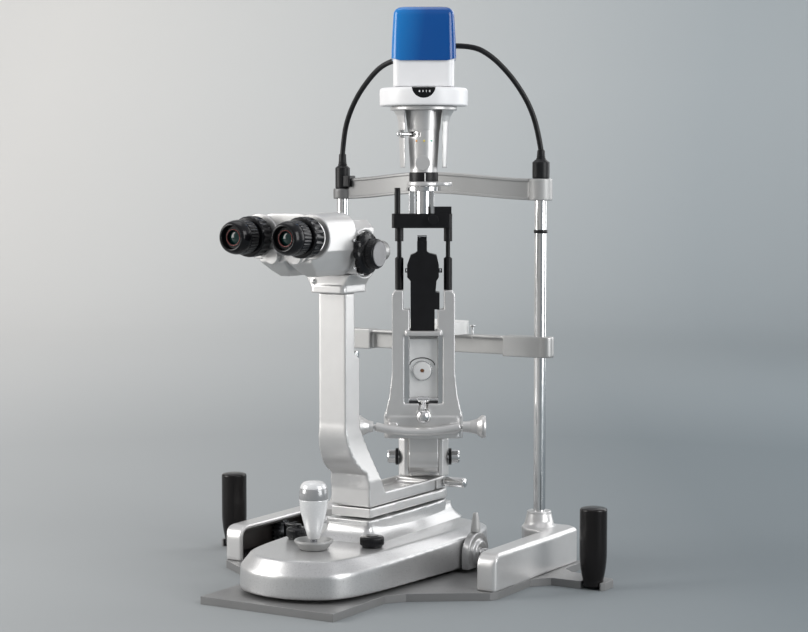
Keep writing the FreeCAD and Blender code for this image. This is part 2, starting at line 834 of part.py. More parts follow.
def joystick_collar():
    profile = [
        (9.5, d.base_high),
        (13.5, d.base_high),
        (d.collar_radius, d.collar_high - 2),
        (d.collar_radius, d.collar_high),
        (d.collar_radius - 2, d.collar_high),
        (9.5, d.base_high + 2.4),
    ]
    return node("joystick_collar", turned(profile, (0, d.stick_y, 0)))


def dimmer_knobs():
    low = d.knob_low
    r = d.knob_radius
    profile = [(0, low), (10.5, low), (10.5, low + 1.5), (r - 0.6, low + 1.5), (r, low + 2.1),
               (r, low + 10), (r - 1.2, low + 11), (6.5, low + 11.6), (0, low + 12.4)]
    node("brightness_knob", turned(profile, (d.knob_x, d.knob_y, 0)))
    cap = turned(profile, (-d.knob_x, d.knob_y, 0))
    lever = rod(1.9, (-d.knob_x - 3, d.knob_y, low + 13.2), 13, (-1, 0, 0))
    post = rod(3.6, (-d.knob_x, d.knob_y, low + 10), 5.2)
    node("slide_lock_knob", fuse(cap, lever, post))


# ---------------------------------------------------------------- joystick


def joystick():
    pivot = d.stick_pivot_z
    outer = rod(11, (0, d.stick_y, pivot - 4), 8)
    inner = rod(8.2, (0, d.stick_y, pivot - 5), 10)
    pins = [rod(1.5, (side * 10.5, d.stick_y, pivot), 6, (side, 0, 0)) for side in (1, -1)]
    pin_holes = rod(1.55, (0, d.stick_y - 12, pivot), 24, (0, 1, 0))
    node("joystick_gimbal", cut(fuse(outer, *pins), inner, pin_holes))
    stem = fuse(
        ball(6.5, (0, d.stick_y, pivot)),
        rod(1.5, (0, d.stick_y - 11, pivot), 22, (0, 1, 0)),
        rod(3.6, (0, d.stick_y, pivot), 24),
        rod(2.2, (0, d.stick_y, pivot + 23), 30),
        cone(1.6, 3.6, (0, d.stick_y, d.base_low + 2), 17),
    )
    node("joystick_stem", stem)
    r = d.stick_radius
    profile = [
        (2.25, 61),
        (5.9, 61),
        (12.5, 84),
        (r, 101),
        (r, 103),
        (r - 0.6, 114, (11, 120.2)),
        (4, d.stick_top),
        (0, d.stick_top),
        (0, 90),
        (2.25, 90),
    ]
    node("joystick_grip", turned(profile, (0, d.stick_y, 0)))


# ---------------------------------------------------------------- lift and swing axis


def lift():
    half, front = d.lift_half, d.lift_front
    rear_y = d.pivot_y
    low, high = d.lift_low, d.lift_high
    outline = [
        (-half, front),
        (half, front),
        (half + 1.5, rear_y, (0, rear_y + 26)),
        (-half - 1.5, rear_y),
    ]
    block = slab(outline, high - low, at=(0, 0, low))
    post = rod(d.post_radius, (0, d.pivot_y, low + 1), d.post_top - low - 1)
    socket = rod(d.lift_shaft_radius - 3, (0, d.lift_shaft_y, low - 2), 7)
    node("pivot_block", cut(fuse(block, post), socket))
    shaft = turned(
        [(0, 15), (d.lift_shaft_radius - 1, 15), (d.lift_shaft_radius, 16),
         (d.lift_shaft_radius, d.lift_low), (d.lift_shaft_radius - 3, d.lift_low),
         (d.lift_shaft_radius - 3, d.lift_low + 5), (0, d.lift_low + 5)],
        (0, d.lift_shaft_y, 0),
    )
    node("elevation_shaft", shaft)


# ---------------------------------------------------------------- microscope


def microscope_arm():
    """The foot round the swing axis and the column, one casting."""
    column = slab(
        [
            (d.column_front, d.column_top),
            (d.column_front, 176, (-46, 148)),
            (d.arm_front - 3, 120),
            (d.arm_front, 104),
            (d.arm_front, d.arm_low),
            (28, d.arm_low),
            (17, 97),
            (d.column_rear, 170),
            (d.column_rear, 244),
            (-32, 249),
            (-32, d.column_top),
        ],
        2 * d.arm_half,
        role="YZ_Plane",
        at=(-d.arm_half, 0, 0),
    )
    front = [
        (-d.column_half, 315),
        (d.column_half, 315),
        (d.column_half, 176, (d.column_half + 2, 150)),
        (d.arm_half, 112),
        (d.arm_half, 80),
        (-d.arm_half, 80),
        (-d.arm_half, 112, (-d.column_half - 2, 150)),
        (-d.column_half, 176),
    ]
    width = slab(front, 200, role="XZ_Plane", at=(0, 140, 0))
    column = common(column, width)
    half = d.arm_half
    foot = slab(
        [
            (-half, 0),
            (half, 0),
            (half, d.pivot_y, (0, d.pivot_y + half)),
            (-half, d.pivot_y),
        ],
        d.arm_rim - d.arm_low,
        at=(0, 0, d.arm_low),
    )
    tray = box((-half + 3.5, half - 3.5), (34, d.pivot_y - 24), (d.tray_floor, 120))
    ring = rod(half - 3.5, (0, d.pivot_y, d.tray_floor), 20)
    bore = rod(d.post_radius + d.running_gap, (0, d.pivot_y, 70), 60)
    keeper = rod(half - 3.5, (0, d.pivot_y, d.arm_low + 1), 13)
    slot = box((16, 30), (124, 128), (d.arm_low - 1, d.arm_rim - 3))
    knob_hole = rod(3.05, (10, 143, 91.5), 30, (1, 0, 0))
    body = fuse(column, cut(foot, tray, ring), keeper)
    return node("microscope_arm", cut(body, bore, slot, knob_hole))


def swing_lock_knob():
    profile = [(0, 13), (3, 13), (3, 26.3), (5.6, 26.3), (5.6, 50), (4.8, 52), (0, 53)]
    return node("swing_lock_knob", turned(profile, (0, 143, 91.5), (1, 0, 0)))


def head_support():
    half = d.seat_half
    block = box((-half, half), (d.seat_front, d.seat_rear), (d.column_top + 0.1, 321))
    block = rounded(block, 5, upright_edge)
    saddle = slab(
        [(-28, 333), (-half + 1, 320), (half - 1, 320), (28, 333)],
        d.seat_rear - d.seat_front - 2,
        role="XZ_Plane",
        at=(0, d.seat_rear - 1, 0),
    )
    screw = rod(2, (-half + 5, d.seat_front - 1.5, 325), 8, (0, 1, 0))
    return node("head_support", fuse(block, saddle, screw))


def binocular_housing():
    """The prism housing: a rounded box with two lobes under the eyepieces."""
    half, low, high = d.house_half, d.house_low, d.house_high
    body = slab(
        [
            (-half, 359),
            (-half + 3, 350),
            (-27, 339),
            (-22, low),
            (-10, low),
            (-5, 339),
            (-1.5, 350),
            (1.5, 350),
            (5, 339),
            (10, low),
            (22, low),
            (27, 339),
            (half - 3, 350),
            (half, 359),
            (half, 381, (half - 5, 391)),
            (half - 17, high),
            (-half + 17, high, (-half + 5, 391)),
            (-half, 381),
        ],
        d.house_rear - d.house_front,
        role="XZ_Plane",
        at=(0, d.house_rear, 0),
    )
    bores = [
        rod(5.05, (side * d.hinge_x, d.house_front - 1, d.hinge_z), 11, (0, 1, 0))
        for side in (1, -1)
    ]
    chin = slab(
        [(-137, 330), (-137, 348), (-134, 347), (-113, low - 0.1), (-113, 330)],
        80,
        role="YZ_Plane",
        at=(-40, 0, 0),
    )
    return node("binocular_housing", cut(body, chin, *bores))


def magnification_changer():
    """The housing of the telescope drum, with the two objective tubes in front of it."""
    rear, z = d.changer_rear, d.zoom_z
    body = slab(
        [
            (-29, 345), (-22, 333.1), (22, 333.1), (29, 345), (29, 380), (21, 389), (-21, 389),
            (-29, 380),
        ],
        rear - d.house_rear,
        role="XZ_Plane",
        at=(0, rear, 0),
    )
    cheek = common(
        rod(24.5, (18, d.zoom_y, z), d.zoom_in - 18.5, (1, 0, 0)),
        box((0, 40), (d.house_rear + 0.3, rear), (333.2, 388)),
    )
    nose = rod(24, (0, rear - 1, z + 5), 6, (0, 1, 0))
    tubes = [
        rod(11.5, (side * 12.5, rear + 4, z), d.objective_end - rear - 4, (0, 1, 0))
        for side in (1, -1)
    ]
    drum_room = rod(13, (-23, d.zoom_y, z), 46, (1, 0, 0))
    knob_hole = rod(4.05, (20, d.zoom_y, z), 20, (1, 0, 0))
    paths = [rod(8, (side * 12.5, d.house_rear - 2, z), 100, (0, 1, 0)) for side in (1, -1)]
    bores = [rod(10, (side * 12.5, rear + 16, z), 60, (0, 1, 0)) for side in (1, -1)]
    node(
        "magnification_housing",
        cut(fuse(body, cheek, nose, *tubes), drum_room, knob_hole, *paths, *bores),
    )
    lenses = [
        turned(
            [(0, 0), (9.9, 0), (9.9, 5), (8, 6.2), (5.5, 7.2), (2.8, 7.7), (0, 7.8)],
            (side * 12.5, rear + 16, z),
            (0, 1, 0),
        )
        for side in (1, -1)
    ]
    node("objective_lenses", group(*lenses))


def magnification_knob():
    near, far = d.zoom_in, d.zoom_out
    profile = [
        (0, near - 13.5),
        (4, near - 13.5),
        (4, near),
        (22.5, near),
        (23, near + 1),
        (22, near + 4.5),
        (18, near + 6),
        (15, near + 6),
        (15, far - 3),
        (14, far - 3),
        (13.4, far - 0.6),
        (0, far),
    ]
    node("magnification_knob", turned(profile, (0, d.zoom_y, d.zoom_z), (1, 0, 0)))
    drum = cut(
        rod(12.4, (-22.5, d.zoom_y, d.zoom_z), 45, (1, 0, 0)),
        *[rod(6.5, (x, d.zoom_y - 20, d.zoom_z), 40, (0, 1, 0)) for x in (-12.5, 12.5)],
        *[rod(5, (x, d.zoom_y, d.zoom_z - 20), 40, (0, 0, 1)) for x in (-12.5, 12.5)],
    )
    node("magnification_drum", drum)


def eyepieces():
    """Each eyepiece hangs on a pin below it, so that the pupil distance can be set."""
    back = -d.eye_seat
    for side, name in ((1, "right"), (-1, "left")):
        at = (side * d.pupil_half, 0, d.optic_z)
        tube = turned(
            [
                (0, back),
                (0, 178),
                (7, 178),
                (7, 181.5),
                (11.2, 181.5),
                (13, 170),
                (13, 160),
                (19.6, 157.5),
                (20.6, 156),
                (20.6, 145),
                (19.4, 143.5),
                (17.5, 143),
                (17.5, 139.5),
                (15.5, back),
            ],
            at,
            (0, -1, 0),
        )
        axis = (side * d.hinge_x, 0, d.hinge_z)
        plate = slab(
            [
                (side * (d.hinge_x - 9), d.hinge_z),
                (side * d.hinge_x, d.hinge_z - 9),
                (side * (d.hinge_x + 8), d.hinge_z - 5),
                (side * (d.pupil_half + 12), d.optic_z - 8),
                (side * (d.pupil_half - 10), d.optic_z + 10),
            ],
            3.5,
            role="XZ_Plane",
            at=(0, d.eye_seat, 0),
        )
        hub = rod(8, (axis[0], d.eye_seat - 5.5, axis[2]), 5.5, (0, 1, 0))
        pin = rod(5, (axis[0], d.eye_seat - 5.5, axis[2]), 14, (0, 1, 0))
        node(f"eyepiece_{name}", fuse(tube, plate, hub, pin))
        ring = turned(
            [
                (13.05, 160.5),
                (16.2, 160.5),
                (17.2, 163),
                (17.2, 176),
                (16, 181),
                (13.2, -d.eye_face),
                (11.6, -d.eye_face),
                (11.6, 182.2),
                (13.05, 170.2),
            ],
            at,
            (0, -1, 0),
        )
        node(f"dioptre_ring_{name}", ring)


# ---------------------------------------------------------------- illumination tower


def strut(radius, start, end):
    """A round bar between two points of the tower's frame."""
    a, b = V(*[float(c) for c in start]), V(*[float(c) for c in end])
    return rod(radius, start, (b - a).Length, tuple(b - a))


def illumination_hub():
    """The carrier on the swing axis, with two ears that hold the tilt axle."""
    low, high = d.hub_low, d.hub_high
    drum = rod(24, (0, 0, low), high - low)
    ear, inner = d.ear_half, d.tongue_half + 0.3
    cheeks = slab(
        [
            (-ear, 6), (-ear, d.tilt_y - 4), (-ear + 6.5, d.tilt_y - 10),
            (ear - 6.5, d.tilt_y - 10), (ear, d.tilt_y - 4), (ear, 6), (15, 20), (-15, 20),
        ],
        high - 103,
        at=(0, 0, 103),
    )
    block = bevelled(cheeks, 2.5, lambda p, e: p.z > float(high) - 0.1)
    channel = box((-inner, inner), (-70, d.tilt_y + 18.2), (90, 160))
    bore = rod(d.post_radius + d.running_gap, (0, 0, low - 1), 48.5)
    holes = rod(4.05, (-60, d.tilt_y, d.tilt_z), 120, (1, 0, 0))
    cap = rod(14, (0, 0, high - 0.5), 3.5)
    return tower_node("illumination_hub", cut(fuse(drum, block, cap), channel, bore, holes))


def tilt_knobs():
    pin = rod(4, (-d.ear_half - 2, d.tilt_y, d.tilt_z), 2 * d.ear_half + 4, (1, 0, 0))
    heads = [
        turned(
            [(0, 0), (9, 0), (9, 1.2), (7.2, 1.3), (7.2, 10.5), (6.2, 12), (0, 12.4)],
            (side * (d.ear_half + 0.3), d.tilt_y, d.tilt_z),
            (side, 0, 0),
        )
        for side in (1, -1)
    ]
    return tower_node("tilt_knobs", fuse(pin, *heads))


def yoke_casting():
    front, rear = d.yoke_front, d.yoke_rear
    half, foot_half, top = d.yoke_half, d.yoke_foot_half, d.yoke_high
    deep = rear - front
    face = [
        (-foot_half + 1, d.yoke_foot),
        (foot_half - 1, d.yoke_foot),
        (foot_half - 6, 196),
        (half, 222),
        (half, top - 6, (half - 1.8, top - 1.8)),
        (half - 6, top),
        (22, top),
        (22, 290),
        (15, 290),
        (15, 267),
        (-15, 267),
        (-15, 290),
        (-22, 290),
        (-22, top),
        (-half + 6, top, (-half + 1.8, top - 1.8)),
        (-half, top - 6),
        (-half, 222),
        (-foot_half + 6, 196),
    ]
    body = slab(face, deep, role="XZ_Plane", at=(0, rear, 0))
    band = box((-d.tube_radius * 2.2, d.tube_radius * 2.2), (front - 3, rear), (d.window_high, 267))
    foot_rear = d.tilt_y + 8
    foot = box((-foot_half, foot_half), (front - 1, foot_rear), (150, d.yoke_foot + 0.7))
    foot = rounded(foot, 9, upright_edge)
    neck = box((-d.tongue_half, d.tongue_half), (d.tilt_y - 16, d.tilt_y + 8), (113, 152))
    barrel = rod(17.4, (-d.tongue_half, d.tilt_y, d.tilt_z), 2 * d.tongue_half, (1, 0, 0))
    axle = rod(4.05, (-30, d.tilt_y, d.tilt_z), 60, (1, 0, 0))
    room = box(
        (-d.window_half, d.window_half), (front - 5, front + 16), (d.window_low, d.window_high)
    )
    bar_y, left, right = float(d.bar_y), 2 - float(d.bar_left), float(d.bar_right) - 2
    lowest = V((left + right) / 2, bar_y, float(d.bar_z))
    sag = Part.Arc(V(left, bar_y, 164), lowest, V(right, bar_y, 164))
    section = Part.Circle(V(left, bar_y, 164), sag.tangent(sag.FirstParameter)[0], 4.9)
    bow = shaped(Part.Wire(sag.toShape()).makePipeShell([Part.Wire(section.toShape())], True, True))
    brackets = [
        box((side * 33 - 4, side * 33 + 4), (bar_y, front + 2), (156, 166)) for side in (1, -1)
    ]
    stubs = [
        rod(2.55, (d.bar_right - 12, bar_y, 164), 12, (1, 0, 0)),
        rod(2.55, (12 - d.bar_left, bar_y, 164), 12, (-1, 0, 0)),
    ]
    notch = box((-4.5, 4.5), (front - 5, front + 6), (179, d.window_low + 1))
    frame = fuse(body, band, foot, neck, barrel)
    casting = fuse(frame, bow, *brackets)
    return tower_node("yoke_casting", cut(casting, axle, room, notch, *stubs))


def latch_plate():
    """Two bright rails and a plate inside the window, with the pin of the ball lever."""
    front = d.yoke_front + 2
    back = d.yoke_front + 16
    rails = [
        box(
            (side * 18.3 - 2.7, side * 18.3 + 2.7), (front, back), (d.window_low, d.window_high)
        )
        for side in (1, -1)
    ]
    plate = box((-15.6, 15.6), (back - 6, back), (190, 258))
    pin = rod(1.5, (-15.6, front + 3, 192), 31.2, (1, 0, 0))
    dial = rod(11, (-1.5, back - 8, 223), 3, (0, 1, 0))
    return tower_node("latch_plate", fuse(*rails, plate, pin, dial))


def tilt_release_lever():
    hinge = (0, float(d.yoke_front) + 5, 192)
    end = (0, float(d.bar_y) - 3, 175.5)
    hub = rod(3.6, (-6, hinge[1], 192), 12, (1, 0, 0))
    arm = strut(2.6, (0, hinge[1] - 1, 191), end)
    knob = ball(8.2, end)
    hole = rod(1.55, (-10, hinge[1], 192), 20, (1, 0, 0))
    return tower_node("tilt_release_lever", cut(fuse(hub, arm, knob), hole))


def slit_width_knobs():
    """Two trumpet-shaped knobs on the ends of the bow; the right one is the longer."""
    right, left = d.bar_right, d.bar_left
    shapes = [
        (right, 1, [(5.6, 0.3), (6.2, 8), (8.5, 16), (12.3, 21), (12.5, 23.5), (11.5, 25.2),
                    (0, 25.6)]),
        (left, -1, [(5.6, 0.3), (6.5, 5), (9, 10), (12, 14), (12, 16.5), (11, 18), (0, 18.4)]),
    ]
    knobs = [
        turned(
            [(0, end - 11), (2.5, end - 11), (2.5, end + 0.3)] + [(r, end + h) for r, h in head],
            (0, d.bar_y, 164),
            (side, 0, 0),
        )
        for end, side, head in shapes
    ]
    return tower_node("slit_width_knobs", group(*knobs))


def linkage_rods():
    pieces = []
    for side in (1, -1):
        x, y = side * d.link_x, d.tower_y
        pieces.append(
            turned(
                [
                    (0, d.yoke_high), (4.6, d.yoke_high), (4.6, 345), (2.4, 347), (2.4, 363.5),
                    (4.6, 363.5), (4.6, d.cross_low), (0, d.cross_low),
                ],
                (x, y, 0),
            )
        )
    pieces.append(rod(3.2, (-28.4, d.tower_y, d.cross_high), 28, (0, 0, 1)))
    return tower_node("linkage_rods", group(*pieces))


def mirror_holder():
    face = [
        (-14, 267), (12, 267), (12, 290.2), (17.3, 290.2), (17.3, 308), (13, 309),
        (14, 321), (16.5, 325), (16.5, 338), (14, 349), (6, 351), (3.6, 353), (3.6, 364),
        (-7, 364), (-7, 353), (-9, 351), (-14, 349), (-17.8, 338), (-17.8, 325), (-14.2, 321),
    ]
    body = slab(face, 24, role="XZ_Plane", at=(0, d.tower_y + 12, 0))
    pins = rod(2.4, (-20, d.tower_y - 4, 332), 40, (1, 0, 0))
    slope = place(
        box((-30, 30), (0, 60), (0, 60)),
        (-30, d.tower_y - 30, d.mirror_z + 30),
        FreeCAD.Rotation(V(1, 0, 0), -45),
    )
    return tower_node("mirror_holder", cut(fuse(body, pins), slope))


def mirror():
    plate = box((-6.8, 3.4), (0, 20), (0, 1.5))
    turn = FreeCAD.Rotation(V(1, 0, 0), -45)
    start = turn.multVec(V(0, 6, 0))
    base = V(0, float(d.tower_y) - 30, float(d.mirror_z) + 30)
    at = (-6.8, base.y + start.y * 4.2, base.z + start.z * 4.2)
    return tower_node("mirror", place(plate, at, turn))


def crossbar():
    low, high = d.cross_low, d.cross_high
    front, rear = d.tower_y - 12, d.tower_y + 12
    bar = box((-34.4, 30.8), (front, rear), (low, high))
    bar = rounded(bar, 4, upright_edge)
    raised = box((11.4, 30), (front + 1, rear - 1), (high - 1, 401))
    light = rod(8, (0, d.tower_y, low - 1), 40)
    gap = rod(d.tube_radius + 0.3, (0, d.tower_y, high), 40)
    screw = rod(5.4, (10.4, front - 6, 387), 8, (0, 1, 0))
    return tower_node("crossbar", cut(fuse(bar, raised, screw), light, gap))


def lens_tube():
    """The fixed inner tube: it carries the slit head and the lamp housing above it."""
    y = d.tower_y
    tube = turned(
        [
            (5, d.cross_high), (d.tube_radius, d.cross_high), (d.tube_radius, 417.8),
            (18.5, 418), (18.5, 422.5), (6.5, 422.5), (6.5, d.disc_high + 0.6),
            (5, d.disc_high + 0.6),
        ],
        (0, y, 0),
    )
    stays = [
        box((-15.5, -10), (y - 4, y + 4), (d.cross_high, 419)),
        box((8, 11.2), (y - 5, y + 5), (d.cross_high, 419)),
    ]
    core = rod(7, (0, y, 390), 26)
    return tower_node("lens_tube", fuse(tube, *[cut(stay, core) for stay in stays]))


def slit_barrel():
    y, top = d.tower_y, d.barrel_high
    bore = 6.55
    body = turned(
        [
            (bore, 423), (17.5, 423), (18, 423.6), (18, 427.6), (14.7, 428),
            (14.7, d.barrel_low), (14.9, 446), (16.3, 468), (18.5, top), (bore, top),
        ],
        (0, y, 0),
    )
    tab = slab(
        [(0, y - 15), (19, y - 12, (31, y)), (19, y + 12), (0, y + 15)], 4, at=(0, 0, 423.4)
    )
    arms = turned(
        [
            (21, 443), (25.2, 443), (25.6, 452), (27.4, 492), (29.4, 499), (33, 504.5),
            (36, 504.5), (36, top), (16, top), (16, 504.5), (26, 504.5), (23.2, 496), (21.5, 452),
        ],
        (0, y, 0),
    )
    opening = box((-20, 20), (y - 50, y + 50), (430, 504.5))
    lever_slot = box((-45, -15), (y - 50, y + 0.5), (475.2, 482.8))
    arms = cut(arms, opening, lever_slot)
    tab = cut(tab, rod(12, (0, y, 420), 12))
    room = cut(rod(13, (0, y, 475), 8), rod(bore + 0.1, (0, y, 474), 12))
    reach = 30
    sector = slab(
        [
            (0, y),
            (-reach * math.cos(math.radians(10)), y - reach * math.sin(math.radians(10))),
            (-reach * 0.82, y - reach * 0.82),
            (-reach * math.sin(math.radians(14)), y - reach * math.cos(math.radians(14))),
        ],
        5,
        at=(0, 0, 476.5),
    )
    sector = cut(sector, rod(9, (0, y, 470), 20))
    return tower_node("slit_barrel", cut(fuse(body, arms, tab), room, sector))


def filter_lever():
    y = d.tower_y
    ring = cut(rod(12.5, (0, y, 476), 6), rod(6.9, (0, y, 470), 20))
    turn = math.radians(205)
    way = (math.cos(turn), math.sin(turn))
    near = (way[0] * 10, float(y) + way[1] * 10, 479)
    far = (way[0] * 29, float(y) + way[1] * 29, 479)
    arm = strut(1.7, near, far)
    knob = ball(2.8, far)
    return tower_node("filter_lever", fuse(ring, arm, knob))


def aperture_disc():
    low, high, r = d.barrel_high, d.disc_high, d.disc_radius
    wheel = turned(
        [
            (6.55, low + 0.2), (r - 2, low + 0.2), (r, low + 2.2), (r, high - 4), (r - 4, high),
            (6.55, high),
        ],
        (0, d.tower_y, 0),
    )
    trough = slab(
        [(-13, d.tower_y - 52), (13, d.tower_y - 52), (11, d.tower_y - 38), (-11, d.tower_y - 38)],
        12,
        at=(0, 0, low + 4),
    )
    return tower_node("aperture_disc", cut(wheel, trough))


def lamp_parts():
    y, half = d.tower_y, d.lamp_half
    low, high = d.disc_high + 0.6, d.lamp_high
    front, rear = y - 34, y + 31
    house = box((-half, half), (front, rear), (low, high))
    house = rounded(house, 8, upright_edge)
    room = rod(24, (0, y, low + 5), 40)
    hole = rod(7, (0, y, low - 1), 10)
    tower_node("lamp_housing", cut(house, room, hole))
    plate = rod(23.9, (0, y, low + 5), 2.4)
    chip = box((-5, 5), (y - 5, y + 5), (low + 3.4, low + 6))
    ribs = [box((x - 1, x + 1), (y - 16, y + 16), (low + 7, low + 24)) for x in (-12, -6, 0, 6, 12)]
    tower_node("led_module", fuse(plate, chip, *ribs))
    cap_half, top = d.cap_half, d.cap_top
    profile = [
        (-cap_half, high),
        (cap_half, high),
        (32.3, top - 9, (30.5, top - 2.5)),
        (24, top),
        (-24, top, (-30.5, top - 2.5)),
        (-32.3, top - 9),
    ]
    cap = slab(profile, 69, role="XZ_Plane", at=(0, rear + 2, 0))
    cap = rounded(cap, 9, lambda p, e: abs(p.x) > 31 and p.z < 600 and abs(e.Length) > 40)
    return tower_node("lamp_cap", cap)


# ---------------------------------------------------------------- building the lamp

base_plate()
rail_cover(1)
rail_cover(-1)
gear_racks()
node("patient_grips", group(grip(1), grip(-1)))
uprights()
forehead_band()
forehead_pad()
cable_connectors()
for cable_name, cable_route in CABLE_ROUTES.items():
    cable(cable_name, cable_route)
chin_rest()
chin_cup()
paper_pins()
chin_ring()
axle_parts()
gear_wheels()
base_casting()
axle_flanges()
base_lock_lever()
pedestal_shroud()
joystick_collar()
dimmer_knobs()
joystick()
lift()
microscope_arm()
swing_lock_knob()
head_support()
binocular_housing()
magnification_changer()
magnification_knob()
eyepieces()
illumination_hub()
tilt_knobs()
yoke_casting()
latch_plate()
tilt_release_lever()
slit_width_knobs()
linkage_rods()
mirror_holder()
mirror()
crossbar()
lens_tube()
slit_barrel()
filter_lever()
aperture_disc()
lamp_parts()

# ---------------------------------------------------------------- checking and saving

doc.recompute()
faults = [f"{o.Name}: {o.State}" for o in doc.Objects if {"Invalid", "Error"} & set(o.State)]
for name, thing in nodes.items():
    shape = thing.Shape
    if shape.isNull() or not shape.isValid() or not shape.Solids:
        faults.append(f"{name}: no valid solid")
if faults:
    raise RuntimeError("; ".join(faults))

os.makedirs("parts", exist_ok=True)
for name, thing in nodes.items():
    thing.Shape.exportStep(f"parts/{name}.step")
print(f"{len(nodes)} nodes")
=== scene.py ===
"""Slit lamp: looks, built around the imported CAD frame. Metres, +Z up, operator towards -Y."""
import json
import math

import bmesh
import bpy
from mathutils import Matrix, Vector


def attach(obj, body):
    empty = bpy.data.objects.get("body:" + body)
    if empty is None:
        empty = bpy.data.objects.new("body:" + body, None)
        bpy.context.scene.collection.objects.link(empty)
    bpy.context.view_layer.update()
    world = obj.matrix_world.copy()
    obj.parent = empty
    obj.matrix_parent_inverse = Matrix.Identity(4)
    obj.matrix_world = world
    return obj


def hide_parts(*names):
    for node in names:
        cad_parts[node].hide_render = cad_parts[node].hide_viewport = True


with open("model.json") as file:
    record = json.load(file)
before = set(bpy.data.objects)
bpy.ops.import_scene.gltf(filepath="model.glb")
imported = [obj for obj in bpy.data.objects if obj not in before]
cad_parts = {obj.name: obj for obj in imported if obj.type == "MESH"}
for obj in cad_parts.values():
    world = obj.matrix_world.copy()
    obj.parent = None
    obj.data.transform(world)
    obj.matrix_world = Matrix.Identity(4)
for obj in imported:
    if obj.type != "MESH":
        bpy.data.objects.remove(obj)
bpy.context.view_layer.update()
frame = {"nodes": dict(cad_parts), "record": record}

MM = 0.001
NODES = frame["nodes"]
SWING = math.radians(30)
PIVOT = Vector((0, 140, 0))


def at(x, y, z):
    """A point in metres from millimetres."""
    return Vector((x, y, z)) * MM


def tower(x, y, z):
    """A point in metres from millimetres in the tower's frame, which is swung about the pivot."""
    return (Matrix.Rotation(SWING, 4, "Z") @ Vector((x, y, z)) + PIVOT) * MM


# ---------------------------------------------------------------- materials


class Graph:
    """A material's node tree, built link by link."""

    def __init__(self, name):
        self.material = bpy.data.materials.new(name)
        self.material.use_nodes = True
        self.tree = self.material.node_tree
        self.shader = self.tree.nodes["Principled BSDF"]
        self.coords = self.add("ShaderNodeTexCoord").outputs["Object"]

    def add(self, kind, links=None, **values):
        """Adds a node. Keys of links are input names or numbers; values are its properties."""
        made = self.tree.nodes.new(kind)
        for key, value in values.items():
            setattr(made, key, value)
        for key, value in (links or {}).items():
            if isinstance(value, bpy.types.NodeSocket):
                self.tree.links.new(value, made.inputs[key])
            else:
                made.inputs[key].default_value = value
        return made

    def noise(self, scale, detail=3.0, stretch=None):
        vector = self.coords
        if stretch:
            vector = self.add("ShaderNodeMapping", {"Vector": vector, "Scale": stretch}).outputs[0]
        links = {"Vector": vector, "Scale": scale, "Detail": detail}
        return self.add("ShaderNodeTexNoise", links).outputs["Fac"]

    def spread(self, value, low, high, start=0.35, end=0.65):
        links = {"Value": value, "From Min": start, "From Max": end, "To Min": low, "To Max": high}
        return self.add("ShaderNodeMapRange", links).outputs["Result"]

    def between(self, factor, first, second):
        links = {"Factor": factor, 6: (*first, 1), 7: (*second, 1)}
        return self.add("ShaderNodeMix", links, data_type="RGBA").outputs[2]

    def mix_in(self, factor, first, second):
        """Mixes a colour socket with a colour."""
        links = {"Factor": factor, 6: first, 7: (*second, 1)}
        return self.add("ShaderNodeMix", links, data_type="RGBA").outputs[2]

    def along(self, way):
        """The distance along a direction, in metres."""
        dot = self.add("ShaderNodeVectorMath", {0: self.coords, 1: way}, operation="DOT_PRODUCT")
        return dot.outputs["Value"]

    def painted_light_ramp(self, way, low, high, first, second):
        """Paints light and shade into the colour: lets it drift along a direction, between two
        distances in metres.
        """
        share = self.spread(self.along(way), 0, 1, low, high)
        self.set(Base_Color=self.between(share, first, second))

    def set(self, **values):
        for key, value in values.items():
            name = key.replace("_", " ")
            if isinstance(value, bpy.types.NodeSocket):
                self.tree.links.new(value, self.shader.inputs[name])
            else:
                self.shader.inputs[name].default_value = value


EDGE_RADIUS = 0.0007
GRAIN_DEPTH = 0.0002
WORN_TONE = 1.5
COAT_ROUGHNESS = 0.08


def scaled(color, factor):
    return tuple(min(1.0, c * factor) for c in color)


def finish(name, color, rough=0.35, metal=0.0, mottle=0.06, patch=60, grain=900, bump=0.05,
           stretch=None, wear=0.0, coat=0.0, rough_spread=0.06):
    """A surface with mottled colour, uneven gloss, fine grain and softened, worn edges."""
    g = Graph(name)
    large = g.noise(patch, 4)
    fine = g.noise(grain, 2, stretch)
    tone = g.between(g.spread(large, 0, 1), scaled(color, 1 - mottle), scaled(color, 1 + mottle))
    soft = g.add("ShaderNodeBevel", {"Radius": EDGE_RADIUS}, samples=4).outputs[0]
    if wear:
        true = g.add("ShaderNodeNewGeometry").outputs["Normal"]
        dot = g.add("ShaderNodeVectorMath", {0: soft, 1: true}, operation="DOT_PRODUCT")
        mask = g.spread(dot.outputs["Value"], wear, 0.0, 0.80, 0.99)
        tone = g.mix_in(mask, tone, scaled(color, WORN_TONE))
    rough_map = g.spread(fine, max(0.02, rough - rough_spread), rough + rough_spread)
    links = {"Height": fine, "Strength": bump, "Distance": GRAIN_DEPTH, "Normal": soft}
    normal = g.add("ShaderNodeBump", links).outputs[0]
    g.set(Base_Color=tone, Roughness=rough_map, Metallic=metal, Normal=normal)
    if coat:
        g.set(Coat_Weight=coat, Coat_Roughness=COAT_ROUGHNESS)
    return g


